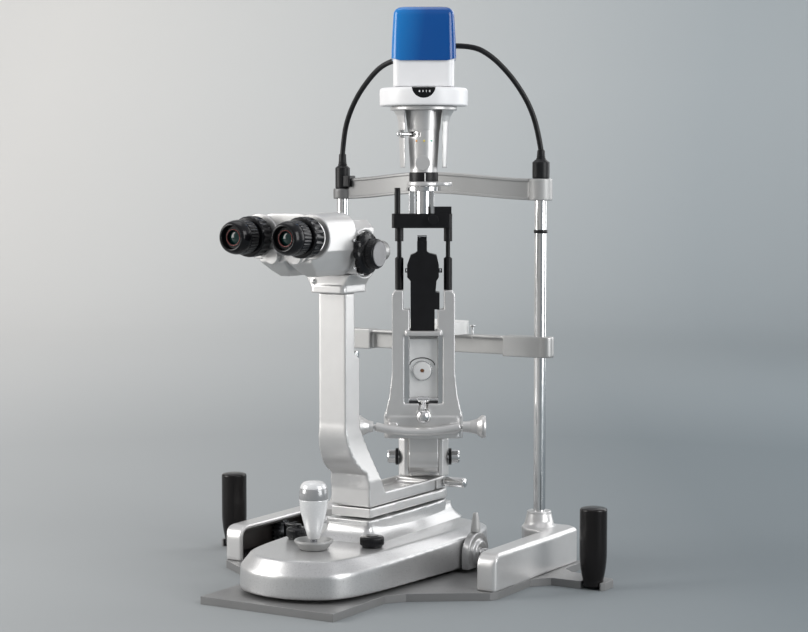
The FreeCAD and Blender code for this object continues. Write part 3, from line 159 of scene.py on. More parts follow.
SILVER = (0.62, 0.615, 0.61)
BLACK = (0.006, 0.006, 0.007)
looks = {
    "silver_paint": finish("silver paint", SILVER, 0.36, 0.65, 0.02, 40, 1600, 0.03, wear=0.3,
                           coat=0.25),
    "base_silver": finish("base silver", (0.53, 0.53, 0.53), 0.33, 0.7, 0.02, 30, 1600, 0.03,
                          wear=0.3, coat=0.3),
    "plate_satin": finish("plate satin", (0.21, 0.21, 0.21), 0.45, 0.35, 0.04, 25, 1400, 0.06,
                          wear=0.5),
    "grip_black": finish("grip black", (0.006, 0.005, 0.005), 0.24, 0.0, 0.05, 60, 700, 0.0,
                         rough_spread=0.02),
    "polished_steel": finish("polished steel", (0.72, 0.72, 0.72), 0.16, 1.0, 0.02, 80, 900, 0.02,
                             stretch=(1, 1, 0.08), rough_spread=0.04),
    "steel": finish("steel", (0.35, 0.36, 0.38), 0.32, 1.0, 0.06, 80, 900, 0.1),
    "aluminium_satin": finish("satin aluminium", (0.42, 0.42, 0.415), 0.5, 0.45, 0.02, 40, 1500,
                              0.02, rough_spread=0.04),
    "black_plastic": finish("black plastic", BLACK, 0.4, 0.0, 0.2, 90, 1100, 0.1),
    "black_gloss": finish("black gloss", (0.005, 0.005, 0.006), 0.2, 0.0, 0.2, 90, 1100, 0.03),
    "cable_black": finish("cable rubber", BLACK, 0.42, 0.0, 0.2, 90, 1300, 0.15),
    "pad_rubber": finish("pad rubber", (0.12, 0.12, 0.13), 0.7, 0.0, 0.1, 90, 1300, 0.4),
    "cup_white": finish("cup white", (0.74, 0.74, 0.73), 0.4, 0.0, 0.03, 60, 900, 0.1),
    "knob_grey": finish("knob grey", (0.74, 0.745, 0.75), 0.22, 0.15, 0.03, 60, 1100, 0.02,
                        coat=0.4),
    "black_metal": finish("black metal", (0.004, 0.004, 0.005), 0.42, 0.0, 0.2, 90, 1100, 0.06),
    "lamp_white": finish("lamp white", (0.80, 0.80, 0.81), 0.35, 0.0, 0.01, 40, 1400, 0.03),
    "cap_blue": finish("cap blue", (0.0, 0.070, 0.28), 0.2, 0.0, 0.04, 30, 900, 0.01,
                       coat=0.5, rough_spread=0.03),
    "circuit": finish("circuit", (0.6, 0.62, 0.6), 0.5, 0.0, 0.05),
    "optic_glass": finish("optic glass", (0.002, 0.022, 0.02), 0.12, 0.0, 0.1, 60, 400, 0.0),
    "front_mirror": finish("front mirror", (0.9, 0.92, 0.93), 0.03, 1.0, 0.01, 60, 400, 0.0,
                           rough_spread=0.01),
}
for dark in ("grip_black", "black_plastic", "black_gloss", "cable_black", "black_metal"):
    looks[dark].set(Specular_IOR_Level=0.28)
accents = {
    "band_grey": finish("band grey", (0.30, 0.305, 0.31), 0.2, 0.2, 0.05, 60, 900, 0.02, coat=0.5),
    # dark seams and slots, and painted shade: the strip under the window plate is a dark sheet
    # standing in for shadow
    "seam_dark": finish("dark seam and painted shade", (0.02, 0.02, 0.022), 0.55, 0.0, 0.1, 90, 900, 0.05),
    "mark_white": finish("mark white", (0.85, 0.85, 0.84), 0.4, 0.0, 0.02),
    "mark_orange": finish("mark orange", (0.75, 0.33, 0.05), 0.4, 0.0, 0.02),
    "mark_yellow": finish("mark yellow", (0.75, 0.60, 0.10), 0.4, 0.0, 0.02),
    "mark_green": finish("mark green", (0.10, 0.45, 0.30), 0.4, 0.0, 0.02),
    "coating_red": finish("coating red", (0.16, 0.02, 0.015), 0.2, 0.0, 0.05, coat=0.8),
    "pilot_brown": finish("pilot brown", (0.16, 0.07, 0.03), 0.3, 0.0, 0.1),
    "dial_grey": finish("dial grey", (0.74, 0.74, 0.735), 0.35, 0.25, 0.03, 60, 1200, 0.03),
    # painted shade: a darker copy of the silver paint, for the chin rest frame
    "rest_silver_painted_shade": finish("rest silver painted shade", (0.40, 0.40, 0.395), 0.38, 0.6, 0.02, 40, 1600, 0.03,
                          wear=0.3, coat=0.2),
    "liner_black": finish("liner black", (0.022, 0.018, 0.016), 0.5, 0.0, 0.2, 60, 900, 0.05),
    "cap_metal": finish("cap metal", (0.17, 0.17, 0.175), 0.34, 0.6, 0.08, 60, 1200, 0.05),
}
looks["optic_glass"].set(Coat_Weight=0.3, Specular_IOR_Level=0.3)
looks["cap_blue"].set(Specular_IOR_Level=0.2)
# painted highlight: the blue cap is lighter towards its upper left and darker to the right
looks["cap_blue"].painted_light_ramp((0.87, 0.5, -0.12), -0.035, 0.0, (0.01, 0.20, 0.56), (0.0, 0.065, 0.27))
# painted shade: the satin aluminium, on the forehead band and its rims, darkens towards the left
looks["aluminium_satin"].painted_light_ramp((1, 0, 0), -0.12, 0.03, (0.17, 0.17, 0.17), (0.42, 0.42, 0.415))

for part in frame["record"]["subparts"]:
    node = NODES[part["node"]]
    slots = node.data.materials
    slots.clear()
    slots.append(looks[part["material_slot"]].material)
    for face in node.data.polygons:
        face.material_index = 0
# the chin rest frame takes the darker silver: painted shade
NODES["chin_rest_frame"].data.materials[0] = accents["rest_silver_painted_shade"].material

# ---------------------------------------------------------------- softened castings


def soften(name, voxel, rounds):
    """Rounds a casting's edges: an even mesh over the CAD node, relaxed a little."""
    node = NODES[name]
    remesh = node.modifiers.new("even", "REMESH")
    remesh.mode = "VOXEL"
    remesh.voxel_size = voxel * MM
    remesh.use_smooth_shade = True
    relax = node.modifiers.new("relax", "SMOOTH")
    relax.factor = 0.5
    relax.iterations = rounds


# voxel size in millimetres and rounds of smoothing
SOFTENED = {
    "base_casting": (1.6, 9), "pedestal_shroud": (1.0, 6), "pivot_block": (1.0, 5),
    "microscope_arm": (1.1, 9), "head_support": (0.8, 7), "rail_cover_left": (1.2, 9),
    "rail_cover_right": (1.2, 9), "forehead_band": (1.0, 5), "chin_rest_frame": (1.0, 5),
    "illumination_hub": (0.9, 6), "yoke_casting": (0.9, 6), "axle_flanges": (0.9, 5),
    "lamp_housing": (1.0, 5), "slit_barrel": (0.7, 4), "magnification_housing": (1.0, 6),
    "binocular_housing": (1.0, 9),
}
for casting, (voxel_size, relax_rounds) in SOFTENED.items():
    soften(casting, voxel_size, relax_rounds)

# ---------------------------------------------------------------- pieces


class Shape:
    """Points in millimetres and faces, joined from simple sweeps."""

    def __init__(self):
        self.points, self.faces = [], []

    def add(self, points, faces):
        start = len(self.points)
        self.points += [Vector(p) for p in points]
        self.faces += [tuple(start + i for i in face) for face in faces]
        return self

    def rings(self, rings, ends=True):
        """A skin over closed rings that all have the same number of points."""
        count = len(rings[0])
        faces = [
            (r * count + i, r * count + (i + 1) % count, (r + 1) * count + (i + 1) % count,
             (r + 1) * count + i)
            for r in range(len(rings) - 1)
            for i in range(count)
        ]
        if ends:
            faces += [tuple(reversed(range(count))),
                      tuple((len(rings) - 1) * count + i for i in range(count))]
        return self.add([p for ring in rings for p in ring], faces)

    def moved(self, matrix):
        self.points = [matrix @ point for point in self.points]
        return self

    def join(self, other):
        return self.add(other.points, other.faces)


def frame_at(place, direction):
    """The transform that brings +Z to a direction at a place."""
    turn = Vector(direction).to_track_quat("Z", "Y").to_matrix().to_4x4()
    return Matrix.Translation(Vector(place)) @ turn


def lathe(profile, place=(0, 0, 0), direction=(0, 0, 1), steps=72, ribs=0, depth=0.0,
          ribbed=(0, 0)):
    """A turned body, or a closed ring if its profile stays off the axis, with ribs if wanted."""
    rings = []
    for radius, height in profile:
        ring = []
        for i in range(steps):
            angle = 2 * math.pi * i / steps
            r = max(radius, 0.01)
            if ribs and ribbed[0] <= height <= ribbed[1]:
                r -= depth * (0.5 - 0.5 * math.cos(ribs * angle)) ** 2
            ring.append((r * math.cos(angle), r * math.sin(angle), height))
        rings.append(ring)
    hollow = profile[0][0] > 0 and profile[-1][0] > 0
    if hollow:
        rings.append(rings[0])
    return Shape().rings(rings, ends=not hollow).moved(frame_at(place, direction))


def plan_rect(half_x, half_y, corner, steps=8):
    """A rectangle with rounded corners, as plan points."""
    spots = []
    for quarter in range(4):
        sx, sy = ((1, 1), (-1, 1), (-1, -1), (1, -1))[quarter]
        for i in range(steps + 1):
            angle = math.pi / 2 * (quarter + i / steps)
            spots.append((sx * (half_x - corner) + corner * math.cos(angle),
                          sy * (half_y - corner) + corner * math.sin(angle)))
    return spots


def extruded(outline, low, high, edge=0.6):
    """A flat outline raised from low to high with eased edges."""
    middle = Vector((sum(x for x, _ in outline), sum(y for _, y in outline))) / len(outline)
    reach = max((Vector(p) - middle).length for p in outline)
    rings = []
    for inset, height in ((edge, low), (0, low + edge), (0, high - edge), (edge, high)):
        scale = 1 - inset / reach
        rings.append([(*(middle + (Vector(p) - middle) * scale), height) for p in outline])
    return Shape().rings(rings)


def piece(name, shape, look, body, replaces=(), in_tower=False, ease=0.0, angle=35):
    """A visible mesh that rides on a body. Shapes are in millimetres."""
    place = tower if in_tower else at
    mesh = bpy.data.meshes.new(name)
    mesh.from_pydata([place(*p) for p in shape.points], [], shape.faces)
    mesh.validate()
    builder = bmesh.new()
    builder.from_mesh(mesh)
    bmesh.ops.remove_doubles(builder, verts=builder.verts, dist=1e-6)
    bmesh.ops.recalc_face_normals(builder, faces=builder.faces)
    builder.to_mesh(mesh)
    builder.free()
    for face in mesh.polygons:
        face.use_smooth = True
    mesh.set_sharp_from_angle(angle=math.radians(angle))
    made = bpy.data.objects.new(name, mesh)
    bpy.context.scene.collection.objects.link(made)
    mesh.materials.append((looks.get(look) or accents[look]).material)
    if ease:
        bevel = made.modifiers.new("ease", "BEVEL")
        bevel.width = ease * MM
        bevel.segments = 3
        bevel.limit_method = "ANGLE"
        bevel.angle_limit = math.radians(40)
    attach(made, body)
    if replaces:
        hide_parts(*replaces)
    return made


def arc(centre, radius, start, end, steps):
    """Points (radius, height) on an arc of a profile, in degrees from the outward direction."""
    return [
        (centre[0] + radius * math.cos(math.radians(start + (end - start) * i / steps)),
         centre[1] + radius * math.sin(math.radians(start + (end - start) * i / steps)))
        for i in range(steps + 1)
    ]


# ---------------------------------------------------------------- lamp head


TOWER_Y = -70  # the slit head's axis in the tower's frame
LEAN_UPRIGHT = Matrix.Rotation(math.pi / 2, 4, "X")  # brings +Z to -Y


def lamp_head():
    rings = []
    half, skirt, top = 34.5, 559, 613.5
    heights = [(skirt, 0), (566, 0.2), (580, 0.7), (595, 1.6)]
    heights += [(top - 9 + 9 * math.sin(math.radians(a)), 2.2 + 9 * (1 - math.cos(math.radians(a))))
                for a in (0, 15, 30, 45, 60, 75, 90)]
    for height, inset in heights:
        side = half - inset
        ring = []
        for x, y in plan_rect(side, side, 10 - min(inset, 3)):
            sag = 5.5 * (1 - (x / half) ** 2) if height == skirt else 0
            ring.append((x, TOWER_Y - 1.5 + y, height - sag))
        rings.append(ring)
    piece("cap_shell", Shape().rings(rings), "cap_blue", "tower", ["lamp_cap"], True)

    low, high, r = 509, 528.4, 47.5
    profile = [(6.6, low), (r - 3, low)] + arc((r - 2, low + 2), 2, -90, 0, 4)
    profile += [(r, high - 5)] + arc((r - 3.2, high - 3.2), 3.2, 0, 90, 5)
    profile += [(36, high), (35.5, high - 0.6), (6.6, high - 0.6)]
    disc = piece("aperture_wheel", lathe(profile, (0, TOWER_Y, 0), steps=128), "lamp_white",
                 "apertures", ["aperture_disc"], True, angle=50)
    front = (0, -1, 0)
    notch = lathe([(0, 0), (12.6, 0), (12.6, 30), (0, 30)],
                  (0, TOWER_Y - 38.5, high + 0.6), front, 64)
    carve(disc, notch)
    pane = lathe([(0, 0), (12.5, 0), (12.5, 1), (0, 1)],
                 (0, TOWER_Y - 38.7, high - 0.6), front, 64)
    pane.points = [Vector((p.x, p.y, min(p.z, high - 0.4))) for p in pane.points]
    piece("aperture_window", pane, "black_gloss", "apertures", (), True)
    marks = Shape()
    for x, width in ((-5.2, 1.4), (-1.2, 0.8), (2.4, 0.8), (5.6, 1.6)):
        bar = extruded([(x, -1.1), (x + width, -1.1), (x + width, 1.1), (x, 1.1)], 0, 0.35, 0.05)
        marks.join(bar)
    turn = Matrix.Translation((0, TOWER_Y - 39.6, high - 4.6)) @ LEAN_UPRIGHT
    piece("aperture_marks", marks.moved(turn), "mark_white", "apertures", (), True)


def carve(target, tool):
    """Cuts a tool shape, in tower millimetres, out of a piece for good."""
    mesh = bpy.data.meshes.new("tool")
    mesh.from_pydata([tower(*p) for p in tool.points], [], tool.faces)
    cutter = bpy.data.objects.new("tool", mesh)
    bpy.context.scene.collection.objects.link(cutter)
    boolean = target.modifiers.new("cut", "BOOLEAN")
    boolean.operation, boolean.object, boolean.solver = "DIFFERENCE", cutter, "EXACT"
    bpy.context.view_layer.update()
    result = bpy.data.meshes.new_from_object(
        target.evaluated_get(bpy.context.evaluated_depsgraph_get())
    )
    target.modifiers.clear()
    target.data = result
    bpy.data.objects.remove(cutter)


def slit_head():
    band = lathe([(14, 427.8), (15.4, 427.9), (15.6, 428.5), (15.6, 437), (15.2, 438),
                  (14, 438.2)], (0, TOWER_Y, 0), steps=96, ribs=48, depth=0.35, ribbed=(428, 437.5))
    piece("rotation_ring", band, "black_metal", "slit_head", (), True)
    line = extruded([(-0.5, -4.6), (0.5, -4.6), (0.5, 4.6), (-0.5, 4.6)], 0, 0.4, 0.05)
    line.moved(frame_at((1.5, TOWER_Y - 15.55, 432.6), (0, -1, 0)))
    piece("rotation_index", line, "mark_white", "slit_head", (), True)
    flat = lathe([(0, 0), (8.2, 0), (8.2, 2.2), (7.8, 2.6), (0, 2.6)], (-1, TOWER_Y - 13.6, 448),
                 (0, -1, 0.05), steps=64)
    piece("slit_head_flat", flat, "silver_paint", "slit_head", (), True)
    slots = Shape()
    for angle, wide in ((-86, 3.0), (-58, 4.0)):
        c, s = math.cos(math.radians(angle)), math.sin(math.radians(angle))
        slot = extruded([(-wide / 2, -1.9), (wide / 2, -1.9), (wide / 2, 1.9), (-wide / 2, 1.9)],
                        0, 0.5, 0.1)
        slot.moved(frame_at((15.5 * c, TOWER_Y + 15.5 * s, 479), (c, s, 0)))
        slots.join(slot)
    piece("filter_slots", slots, "seam_dark", "slit_head", (), True)
    for angle, look in ((-118, "mark_orange"), (-88, "mark_yellow"), (-60, "mark_green")):
        c, s = math.cos(math.radians(angle)), math.sin(math.radians(angle))
        dot = lathe([(0, 0), (1.1, 0), (1.1, 0.5), (0.8, 0.7), (0, 0.7)],
                    (16.2 * c, TOWER_Y + 16.2 * s, 471.6), (c, s, 0), steps=24)
        piece(f"filter_{look}", dot, look, "slit_head", (), True)
    collar = lathe([(16, 483), (17.6, 483.4), (18.8, 495), (19.8, 503.4), (19.8, 504.3),
                    (16, 504.3)], (0, TOWER_Y, 0), steps=96)
    piece("slit_head_neck", collar, "silver_paint", "slit_head", (), True)


# ---------------------------------------------------------------- tower


def tower_details():
    dial = lathe([(0, 0), (9.6, 0), (9.9, 0.5), (9.9, 2.2), (9.2, 3), (2.4, 3.2), (2.2, 2.4),
                  (0, 2.4)], (-1.5, -75.5, 223), (0, -1, 0), steps=72)
    piece("pilot_dial", dial, "dial_grey", "tower", (), True)
    hole = lathe([(0, 0), (2.1, 0), (2.1, 0.6), (0, 0.9)], (-1.5, -77.9, 223.6), (0, -1, 0), 24)
    piece("pilot_lens", hole, "pilot_brown", "tower", (), True)
    plate = extruded([(-15.4, 191), (15.4, 191), (15.4, 257.6), (-15.4, 257.6)], 0, 1.2, 0.3)
    plate.moved(Matrix.Translation((0, -73.8, 0)) @ LEAN_UPRIGHT)
    piece("window_plate", plate, "dial_grey", "tower", (), True)
    rings = []
    for i in range(25):
        angle = math.radians(180 * i / 24)
        centre = Vector((-1.5 + 13.4 * math.cos(angle), -75.2, 229 + 8 * math.sin(angle)))
        way = Vector((math.cos(angle), 0, math.sin(angle)))
        rings.append([centre + 0.55 * (way * math.cos(a) + Vector((0, 1, 0)) * math.sin(a))
                      for a in (k * math.pi / 4 for k in range(8))])
    piece("window_arc", Shape().rings(rings), "seam_dark", "tower", (), True)
    for side, name in ((1, "right"), (-1, "left")):
        rail = extruded(plan_rect(1.3, 2.2, 0.6), 191, 257.6, 0.2)
        rail.moved(Matrix.Translation((side * 17.4, -75.4, 0)))
        piece(f"window_rail_{name}", rail, "polished_steel", "tower", (), True)
    # painted shadow: a dark strip under the window plate
    lip = extruded([(-15.6, 188.4), (15.6, 188.4), (15.6, 190.8), (-15.6, 190.8)], 0, 6, 0.3)
    lip.moved(Matrix.Translation((0, -74, 0)) @ LEAN_UPRIGHT)
    piece("window_shadow", lip, "seam_dark", "tower", (), True)
    for side, name in ((1, "right"), (-1, "left")):
        washer = lathe([(0, 0.2), (9.2, 0.2), (9.2, 3.2), (7.4, 3.6), (0, 3.6)],
                       (side * 27.6, -38, 123.7), (side, 0, 0), steps=64)
        piece(f"tilt_washer_{name}", washer, "black_plastic", "tilt_grip", (),
              True)
        screw = lathe([(0, 0), (2.7, 0), (2.7, 1.0), (2.2, 1.5), (0, 1.5)],
                      (side * 17.2, TOWER_Y - 5, 332), (side, 0, 0), steps=32)
        piece(f"mirror_screw_{name}", screw, "steel", "tower", (), True)


# ---------------------------------------------------------------- microscope


EYE_X, EYE_Z, EYE_SEAT_Y = 31, 374, -135.3


def eyepiece(side, name):
    place, back = (side * EYE_X, 0, EYE_Z), (0, -1, 0)
    body = lathe([(0, 135.3), (15.6, 135.3), (17.4, 139.4), (17.4, 142.6), (19.4, 143.2),
                  (20.4, 144.2), (20.6, 146), (20.6, 155), (20.2, 156.6), (19, 157.8),
                  (13.2, 158.6), (13, 160), (13, 170), (11.2, 181.5), (7, 181.5), (7, 178),
                  (0, 178)], place, back, 120, ribs=20, depth=1.5, ribbed=(145, 156))
    hinge = extruded([(side * 5, 354), (side * 14, 345), (side * 22, 349), (side * 43, 366),
                      (side * 21, 384)], 0, 3.4, 0.6)
    hinge.moved(Matrix.Translation((0, EYE_SEAT_Y - 0.1, 0)) @ LEAN_UPRIGHT)
    hub = lathe([(0, 0), (8, 0), (8, 4.6), (7.2, 5.4), (0, 5.4)],
                (side * 14, EYE_SEAT_Y - 0.1, 354), back, 48)
    hinge.join(hub)
    piece(f"eyepiece_hinge_{name}", hinge, "silver_paint", f"eye_{name}")
    piece(f"eyepiece_body_{name}", body, "black_gloss", f"eye_{name}",
          [f"eyepiece_{name}"])
    ring = lathe([(13.1, 160.4), (16.6, 160.4), (17.3, 161.2), (17.4, 163), (17.4, 172.4),
                  (17.1, 173), (16.5, 173.3), (16.5, 174), (17.1, 174.3), (17.1, 177),
                  (16.4, 180.6), (15.2, 183.8), (13.8, 185.6), (12.6, 186), (11.7, 185.6),
                  (11.5, 184.4), (11.6, 182.4), (13.1, 170.4)], place, back, 120, ribs=30,
                 depth=0.7, ribbed=(162, 172.5))
    piece(f"dioptre_grip_{name}", ring, "black_gloss", f"eye_ring_{name}",
          [f"dioptre_ring_{name}"], ease=0.15)
    lens = lathe([(0, 179.9), (3, 179.8), (5, 179.4), (7.0, 178.4), (7.0, 178)], place, back, 64)
    piece(f"eye_lens_{name}", lens, "optic_glass", f"eye_{name}")
    coat = lathe([(7.4, 181.6), (7.9, 182), (8.3, 182), (8.3, 181.4), (7.4, 181.4)], place, back,
                 64)
    piece(f"eye_lens_rim_{name}", coat, "coating_red", f"eye_{name}")
    seat = lathe([(17.4, 0), (22.4, 0), (22.8, 0.6), (22.8, 1.4), (22, 2.2), (17.4, 2.2)],
                 (side * EYE_X, EYE_SEAT_Y + 0.7, EYE_Z), back, 96)
    piece(f"eyepiece_seat_{name}", seat, "silver_paint", f"eye_{name}")


def magnification():
    knob_y, knob_z, way = -44, 354.5, (1, 0, 0)
    place = (0, knob_y, knob_z)
    skirt = [(0, 36.2), (21.5, 36.2), (22.9, 37.2), (22.6, 39.5), (21, 41.4), (18, 42.4),
             (15.6, 43.2), (15.2, 44.6), (15.0, 52), (14.4, 53.4), (13.2, 54), (0, 54)]
    knob = lathe(skirt, place, way, 144, ribs=12, depth=2.4, ribbed=(36, 41))
    ribs = lathe([(14.9, 44.6), (15.6, 45.2), (15.6, 51.4), (14.9, 52)], place, way, 144, ribs=36,
                 depth=0.7, ribbed=(45, 51.5))
    knob.join(ribs)
    shaft = lathe([(0, 22.5), (4, 22.5), (4, 37), (0, 37)], place, way, 32)
    knob.join(shaft)
    piece("magnification_grip", knob, "black_gloss", "magnification",
          ["magnification_knob"])
    face = lathe([(0, 54), (12.9, 54), (13.1, 54.4), (12.7, 54.9), (0, 55)], place, way, 72)
    piece("magnification_face", face, "cap_metal", "magnification")
    rim = lathe([(23.4, 35.2), (26.4, 35.2), (26.6, 35.6), (26.4, 36.6), (25.2, 37.2),
                 (24, 36.8), (23.4, 36)], place, way, 96)
    rim.points = [Vector((p.x, max(min(p.y, -15), -58), p.z)) for p in rim.points]
    piece("magnification_rim", rim, "silver_paint", "microscope")
    for number, angle in enumerate((35, 145, 215, 325)):
        y, z = 24.6 * math.cos(math.radians(angle)), 24.6 * math.sin(math.radians(angle))
        head = lathe([(0, 0), (1.9, 0), (1.9, 1.1), (1.5, 1.5), (0.9, 1.5), (0.9, 0.8), (0, 0.8)],
                     (36, knob_y + y, knob_z + z), way, 24)
        piece(f"magnification_screw_{number}", head, "polished_steel", "microscope")


# ---------------------------------------------------------------- joystick and knobs


def hand_controls():
    place = (0, -86, 0)
    body = lathe([(2.3, 61), (5.6, 61), (6.2, 61.8), (8.6, 70), (11.6, 81), (13.8, 91),
                  (15.0, 100.6), (15.2, 101.6), (14.9, 102.2), (2.3, 102.2)], place, steps=96)
    piece("stick_body", body, "knob_grey", "stick_grip", ["joystick_grip"])
    band = lathe([(2.3, 102.2), (14.9, 102.2), (15.1, 103), (14.7, 108.6), (14.2, 113.2),
                  (13.8, 113.8), (2.3, 113.8)], place, steps=96)
    piece("stick_band", band, "band_grey", "stick_grip")
    dome = lathe([(2.3, 113.8), (13.8, 113.8), (13.6, 115), (12.6, 117.6), (10.6, 119.6),
                  (7.4, 120.6), (0, 121)], place, steps=96)
    piece("stick_dome", dome, "knob_grey", "stick_grip")
    for x, name, body_name, node in ((46, "brightness", "brightness", "brightness_knob"),
                                     (-46, "slide_lock", "slide_lock", "slide_lock_knob")):
        low = 50.5
        knob = lathe([(0, low), (10.6, low), (10.8, low + 1.6), (12, low + 2), (12.7, low + 2.8),
                      (12.7, low + 9), (12.2, low + 10.2), (11.2, low + 11), (7, low + 11.4),
                      (6.6, low + 12), (0, low + 12.3)], (x, -46, 0), steps=120, ribs=30,
                     depth=0.6, ribbed=(low + 2.5, low + 9.5))
        if name == "slide_lock":
            lever = lathe([(0, 0), (1.9, 0.4), (2.1, 12), (1.6, 13), (0, 13.4)],
                          (-49, -46, low + 13.2), (-1, 0, 0.06), steps=32)
            post = lathe([(0, low + 10), (3.6, low + 10), (3.6, low + 14.6), (2.8, low + 15.2),
                          (0, low + 15.2)], (x, -46, 0), steps=32)
            for part in (lever, post):
                knob.join(part)
        piece(f"{name}_grip", knob, "black_gloss", body_name, [node])


# ---------------------------------------------------------------- head rest


ROD_X, ROD_Y, EYE_LEVEL = 129, 174, 373


def head_rest():
    ring = lathe([(6.7, -2), (7.3, -1.8), (7.5, -1.2), (7.5, 1.2), (7.3, 1.8), (6.7, 2)],
                 (ROD_X, ROD_Y, EYE_LEVEL), steps=64)
    piece("canthus_mark", ring, "black_plastic", "frame")
    for low, name in ((407.2, "band_rim_low"), (427.4, "band_rim_high")):
        rings = []
        for i in range(41):
            x = -117 + 234 * i / 40
            swell = math.cos(math.pi * x / ROD_X / 2) ** 2
            y, z = ROD_Y - 22 * swell - 4, low + 7.5 * swell
            rings.append([(x, y + 1, z), (x, y - 0.9, z), (x, y - 1.4, z + 0.6),
                          (x, y - 1.4, z + 2.6), (x, y - 0.9, z + 3.2), (x, y + 1, z + 3.2)])
        piece(name, Shape().rings(rings), "aluminium_satin", "frame")
    lug = extruded(plan_rect(4.5, 7, 1.5), 421, 434, 0.6).moved(Matrix.Translation((-118, 171, 0)))
    piece("connector_lug_left", lug, "black_plastic", "frame", ease=0.4)
    for x, height, name in ((ROD_X, 452.5, "right"), (-ROD_X, 446.5, "left")):
        relief = lathe([(3.1, height), (5.4, height)] + [
            (5.2 - 0.16 * k - (0.5 if k % 2 else 0), height + 0.9 + k) for k in range(9)
        ] + [(3.1, height + 10.4)], (x, ROD_Y, 0), steps=48)
        piece(f"connector_relief_{name}", relief, "black_plastic", "frame")


# ---------------------------------------------------------------- rails and base


def rails_and_base():
    """The pedestal's flare, the dark inside of the rail covers and the rods' bosses."""
    rings = []
    for step in range(11):
        share = step / 10
        spread = 15 * (1 - share) ** 2.2 + 0.5
        ring = plan_rect(27 + spread, 92 + spread * 0.9, 6 + spread)
        rings.append([(x * (1 - 0.0012 * max(0, y)), 71 + y, 49.8 + 17 * share) for x, y in ring])
    piece("shroud_flare", Shape().rings(rings), "base_silver", "base")
    for side, name in ((1, "right"), (-1, "left")):
        mouth, back, front, rear, floor, roof = 148.5, 164.5, -1.7, 137.6, 9, 41.6
        walls = (
            ((back - 0.8, back), (front + 0.1, rear), (floor, roof)),
            ((mouth, back), (front + 0.1, rear), (roof - 0.6, roof)),
            ((mouth, back), (front, front + 0.7), (floor, roof)),
            ((mouth, back), (rear - 0.6, rear), (floor, roof)),
        )
        liner = Shape()
        for (x0, x1), (y0, y1), (z0, z1) in walls:
            wall = extruded([(side * x0, y0), (side * x1, y0), (side * x1, y1), (side * x0, y1)],
                            z0, z1, 0.05)
            liner.join(wall)
        piece(f"cover_liner_{name}", liner, "liner_black", "frame")
        boss = lathe([(6.9, 63), (12.9, 63), (13.4, 62.4), (13.8, 55.5), (14.6, 54.6),
                      (15.6, 50.5), (17.4, 47.4), (19.6, 45), (19.6, 40), (6.9, 40)],
                     (side * ROD_X, ROD_Y, 0), steps=96)
        piece(f"rod_boss_{name}", boss, "silver_paint", "frame")


rails_and_base()
lamp_head()
slit_head()
tower_details()
for eye_side, eye_name in ((1, "right"), (-1, "left")):
    eyepiece(eye_side, eye_name)
magnification()
hand_controls()
head_rest()

# ---------------------------------------------------------------- cables


def nurbs(name, points, radius, look):
    """A round tube along one smooth line with these control points."""
    data = bpy.data.curves.new(name, "CURVE")
    data.dimensions = "3D"
    data.bevel_depth = radius * MM
    data.bevel_resolution = 5
    data.resolution_u = 16
    data.use_fill_caps = True
    spline = data.splines.new("NURBS")
    spline.points.add(len(points) - 1)
    for spot, point in zip(spline.points, points):
        spot.co = (*at(*point), 1)
    spline.order_u = 3
    spline.use_endpoint_u = True
    made = bpy.data.objects.new(name, data)
    bpy.context.scene.collection.objects.link(made)
    data.materials.append(looks[look].material)
    return made


LEFT_ROUTE = [
    (2.8, 99.1, 566.0), (-7.6, 117.1, 566.0), (-29.0, 129.0, 563.5), (-53.0, 135.5, 557.0),
    (-76.0, 147.0, 543.5), (-97.5, 158.0, 526.5), (-114.5, 167.0, 507.0), (-125.8, 172.6, 484.5),
    (-129.0, 174.0, 459.0),
]
RIGHT_ROUTE = [
    (53.5, 115.4, 575.0), (70.8, 125.4, 575.0), (86.0, 138.0, 564.5), (99.0, 148.7, 548.5),
    (109.5, 157.5, 531.5), (119.0, 165.5, 511.0), (125.8, 171.2, 486.6), (129.0, 174.0, 462.0),
]
for side, route, length in (("left", LEFT_ROUTE, 0.2073), ("right", RIGHT_ROUTE, 0.1616)):
    cable = nurbs(f"cable_{side}", route, 3, "cable_black")
    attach(cable, "frame")
    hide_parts(f"lamp_cable_{side}")

# ---------------------------------------------------------------- stage, light and camera


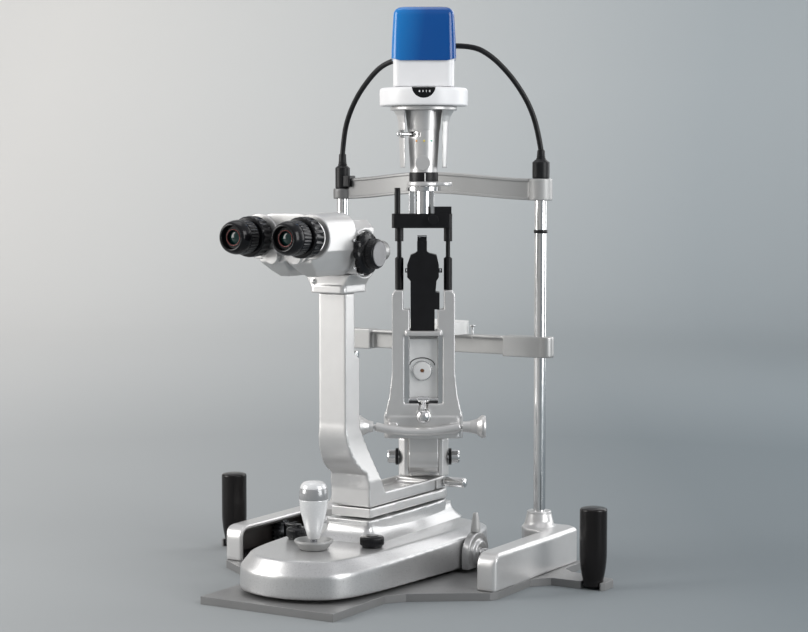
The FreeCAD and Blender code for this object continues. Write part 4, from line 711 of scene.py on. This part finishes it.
def stage():
    """A round cove: a pale floor that curves up into a wall, with no horizon, painted lighter to
    the upper left and darker to the right, with painted shade near the middle.
    """
    floor, bend, top, steps = 3.2, 1.6, 2.4, 96
    profile = [(0, 0), (0.8, 0), (1.8, 0), (2.8, 0), (floor, 0)]
    profile += [(floor + bend * math.sin(math.radians(a)), bend - bend * math.cos(math.radians(a)))
                for a in range(10, 91, 10)]
    profile += [(floor + bend, top)]
    rings = [
        [(max(r, 0.001) * math.cos(2 * math.pi * t / steps),
          max(r, 0.001) * math.sin(2 * math.pi * t / steps), z) for t in range(steps)]
        for r, z in profile
    ]
    skin = Shape().rings(rings, ends=False)
    mesh = bpy.data.meshes.new("cove")
    mesh.from_pydata(skin.points, [], skin.faces)
    for face in mesh.polygons:
        face.use_smooth = True
    cove = bpy.data.objects.new("cove", mesh)
    bpy.context.scene.collection.objects.link(cove)
    g = Graph("cove painted light")
    # painted light and shade: warm light at the upper left ramps to blue-grey at the right, and the
    # floor near the middle and to the right is painted darker
    across = g.along((0.86, 0.51, -0.25))
    shade = g.spread(across, 0, 1, -1.3, 0.9)
    paint = g.between(shade, (0.70, 0.69, 0.67), (0.445, 0.485, 0.505))
    near_painted_shade = g.between(g.spread(across, 0, 1, -0.9, 0.45), (0.34, 0.345, 0.345), (0.03, 0.052, 0.066))
    reach = g.add("ShaderNodeVectorMath", {0: g.coords}, operation="LENGTH").outputs["Value"]
    links = {"Factor": g.spread(reach, 0.7, 0.0, 1.2, 4.6), 6: paint, 7: near_painted_shade}
    paint = g.add("ShaderNodeMix", links, data_type="RGBA").outputs[2]
    g.set(Base_Color=paint, Roughness=0.9, Specular_IOR_Level=0.1)
    mesh.materials.append(g.material)


def lamp(name, place, target, size, power, color=(1, 1, 1)):
    data = bpy.data.lights.new(name, "AREA")
    data.shape = "RECTANGLE"
    data.size, data.size_y = size
    data.energy = power
    data.color = color
    made = bpy.data.objects.new(name, data)
    made.location = place
    made.rotation_euler = (Vector(target) - Vector(place)).to_track_quat("-Z", "Y").to_euler()
    bpy.context.scene.collection.objects.link(made)


def light():
    world = bpy.data.worlds.new("studio")
    bpy.context.scene.world = world
    world.use_nodes = True
    back = world.node_tree.nodes["Background"]
    back.inputs["Color"].default_value = (0.95, 0.96, 1.0, 1)
    back.inputs["Strength"].default_value = 0.55
    centre = (0, 0.05, 0.3)
    lamp("key", (-1.9, -1.5, 1.1), centre, (1.4, 1.8), 60, (1, 0.985, 0.96))
    lamp("fill", (2.1, -0.1, 0.9), centre, (1.1, 1.8), 34)
    lamp("side", (1.5, 2.3, 0.7), centre, (1.5, 1.8), 22)
    lamp("top", (-0.3, 0.3, 2.3), centre, (1.4, 1.4), 8)
    lamp("rim", (0.3, 2.0, 1.4), centre, (1.4, 1.0), 9)
    lamp("backdrop", (-1.6, 1.4, 2.6), (-2.8, 3.4, 1.0), (1.6, 1.0), 36, (1, 0.99, 0.97))


def camera():
    data = bpy.data.cameras.new("camera")
    data.sensor_width = 36
    data.lens = 87.7
    data.clip_start = 0.05
    made = bpy.data.objects.new("camera", data)
    made.location = (1.10516, -1.76730, 0.43951)
    made.rotation_euler = (math.radians(90 - 4.216), 0, math.radians(30.664))
    bpy.context.scene.collection.objects.link(made)
    bpy.context.scene.camera = made


stage()
light()
camera()
bpy.context.scene.view_settings.view_transform = "Standard"

bpy.context.view_layer.update()
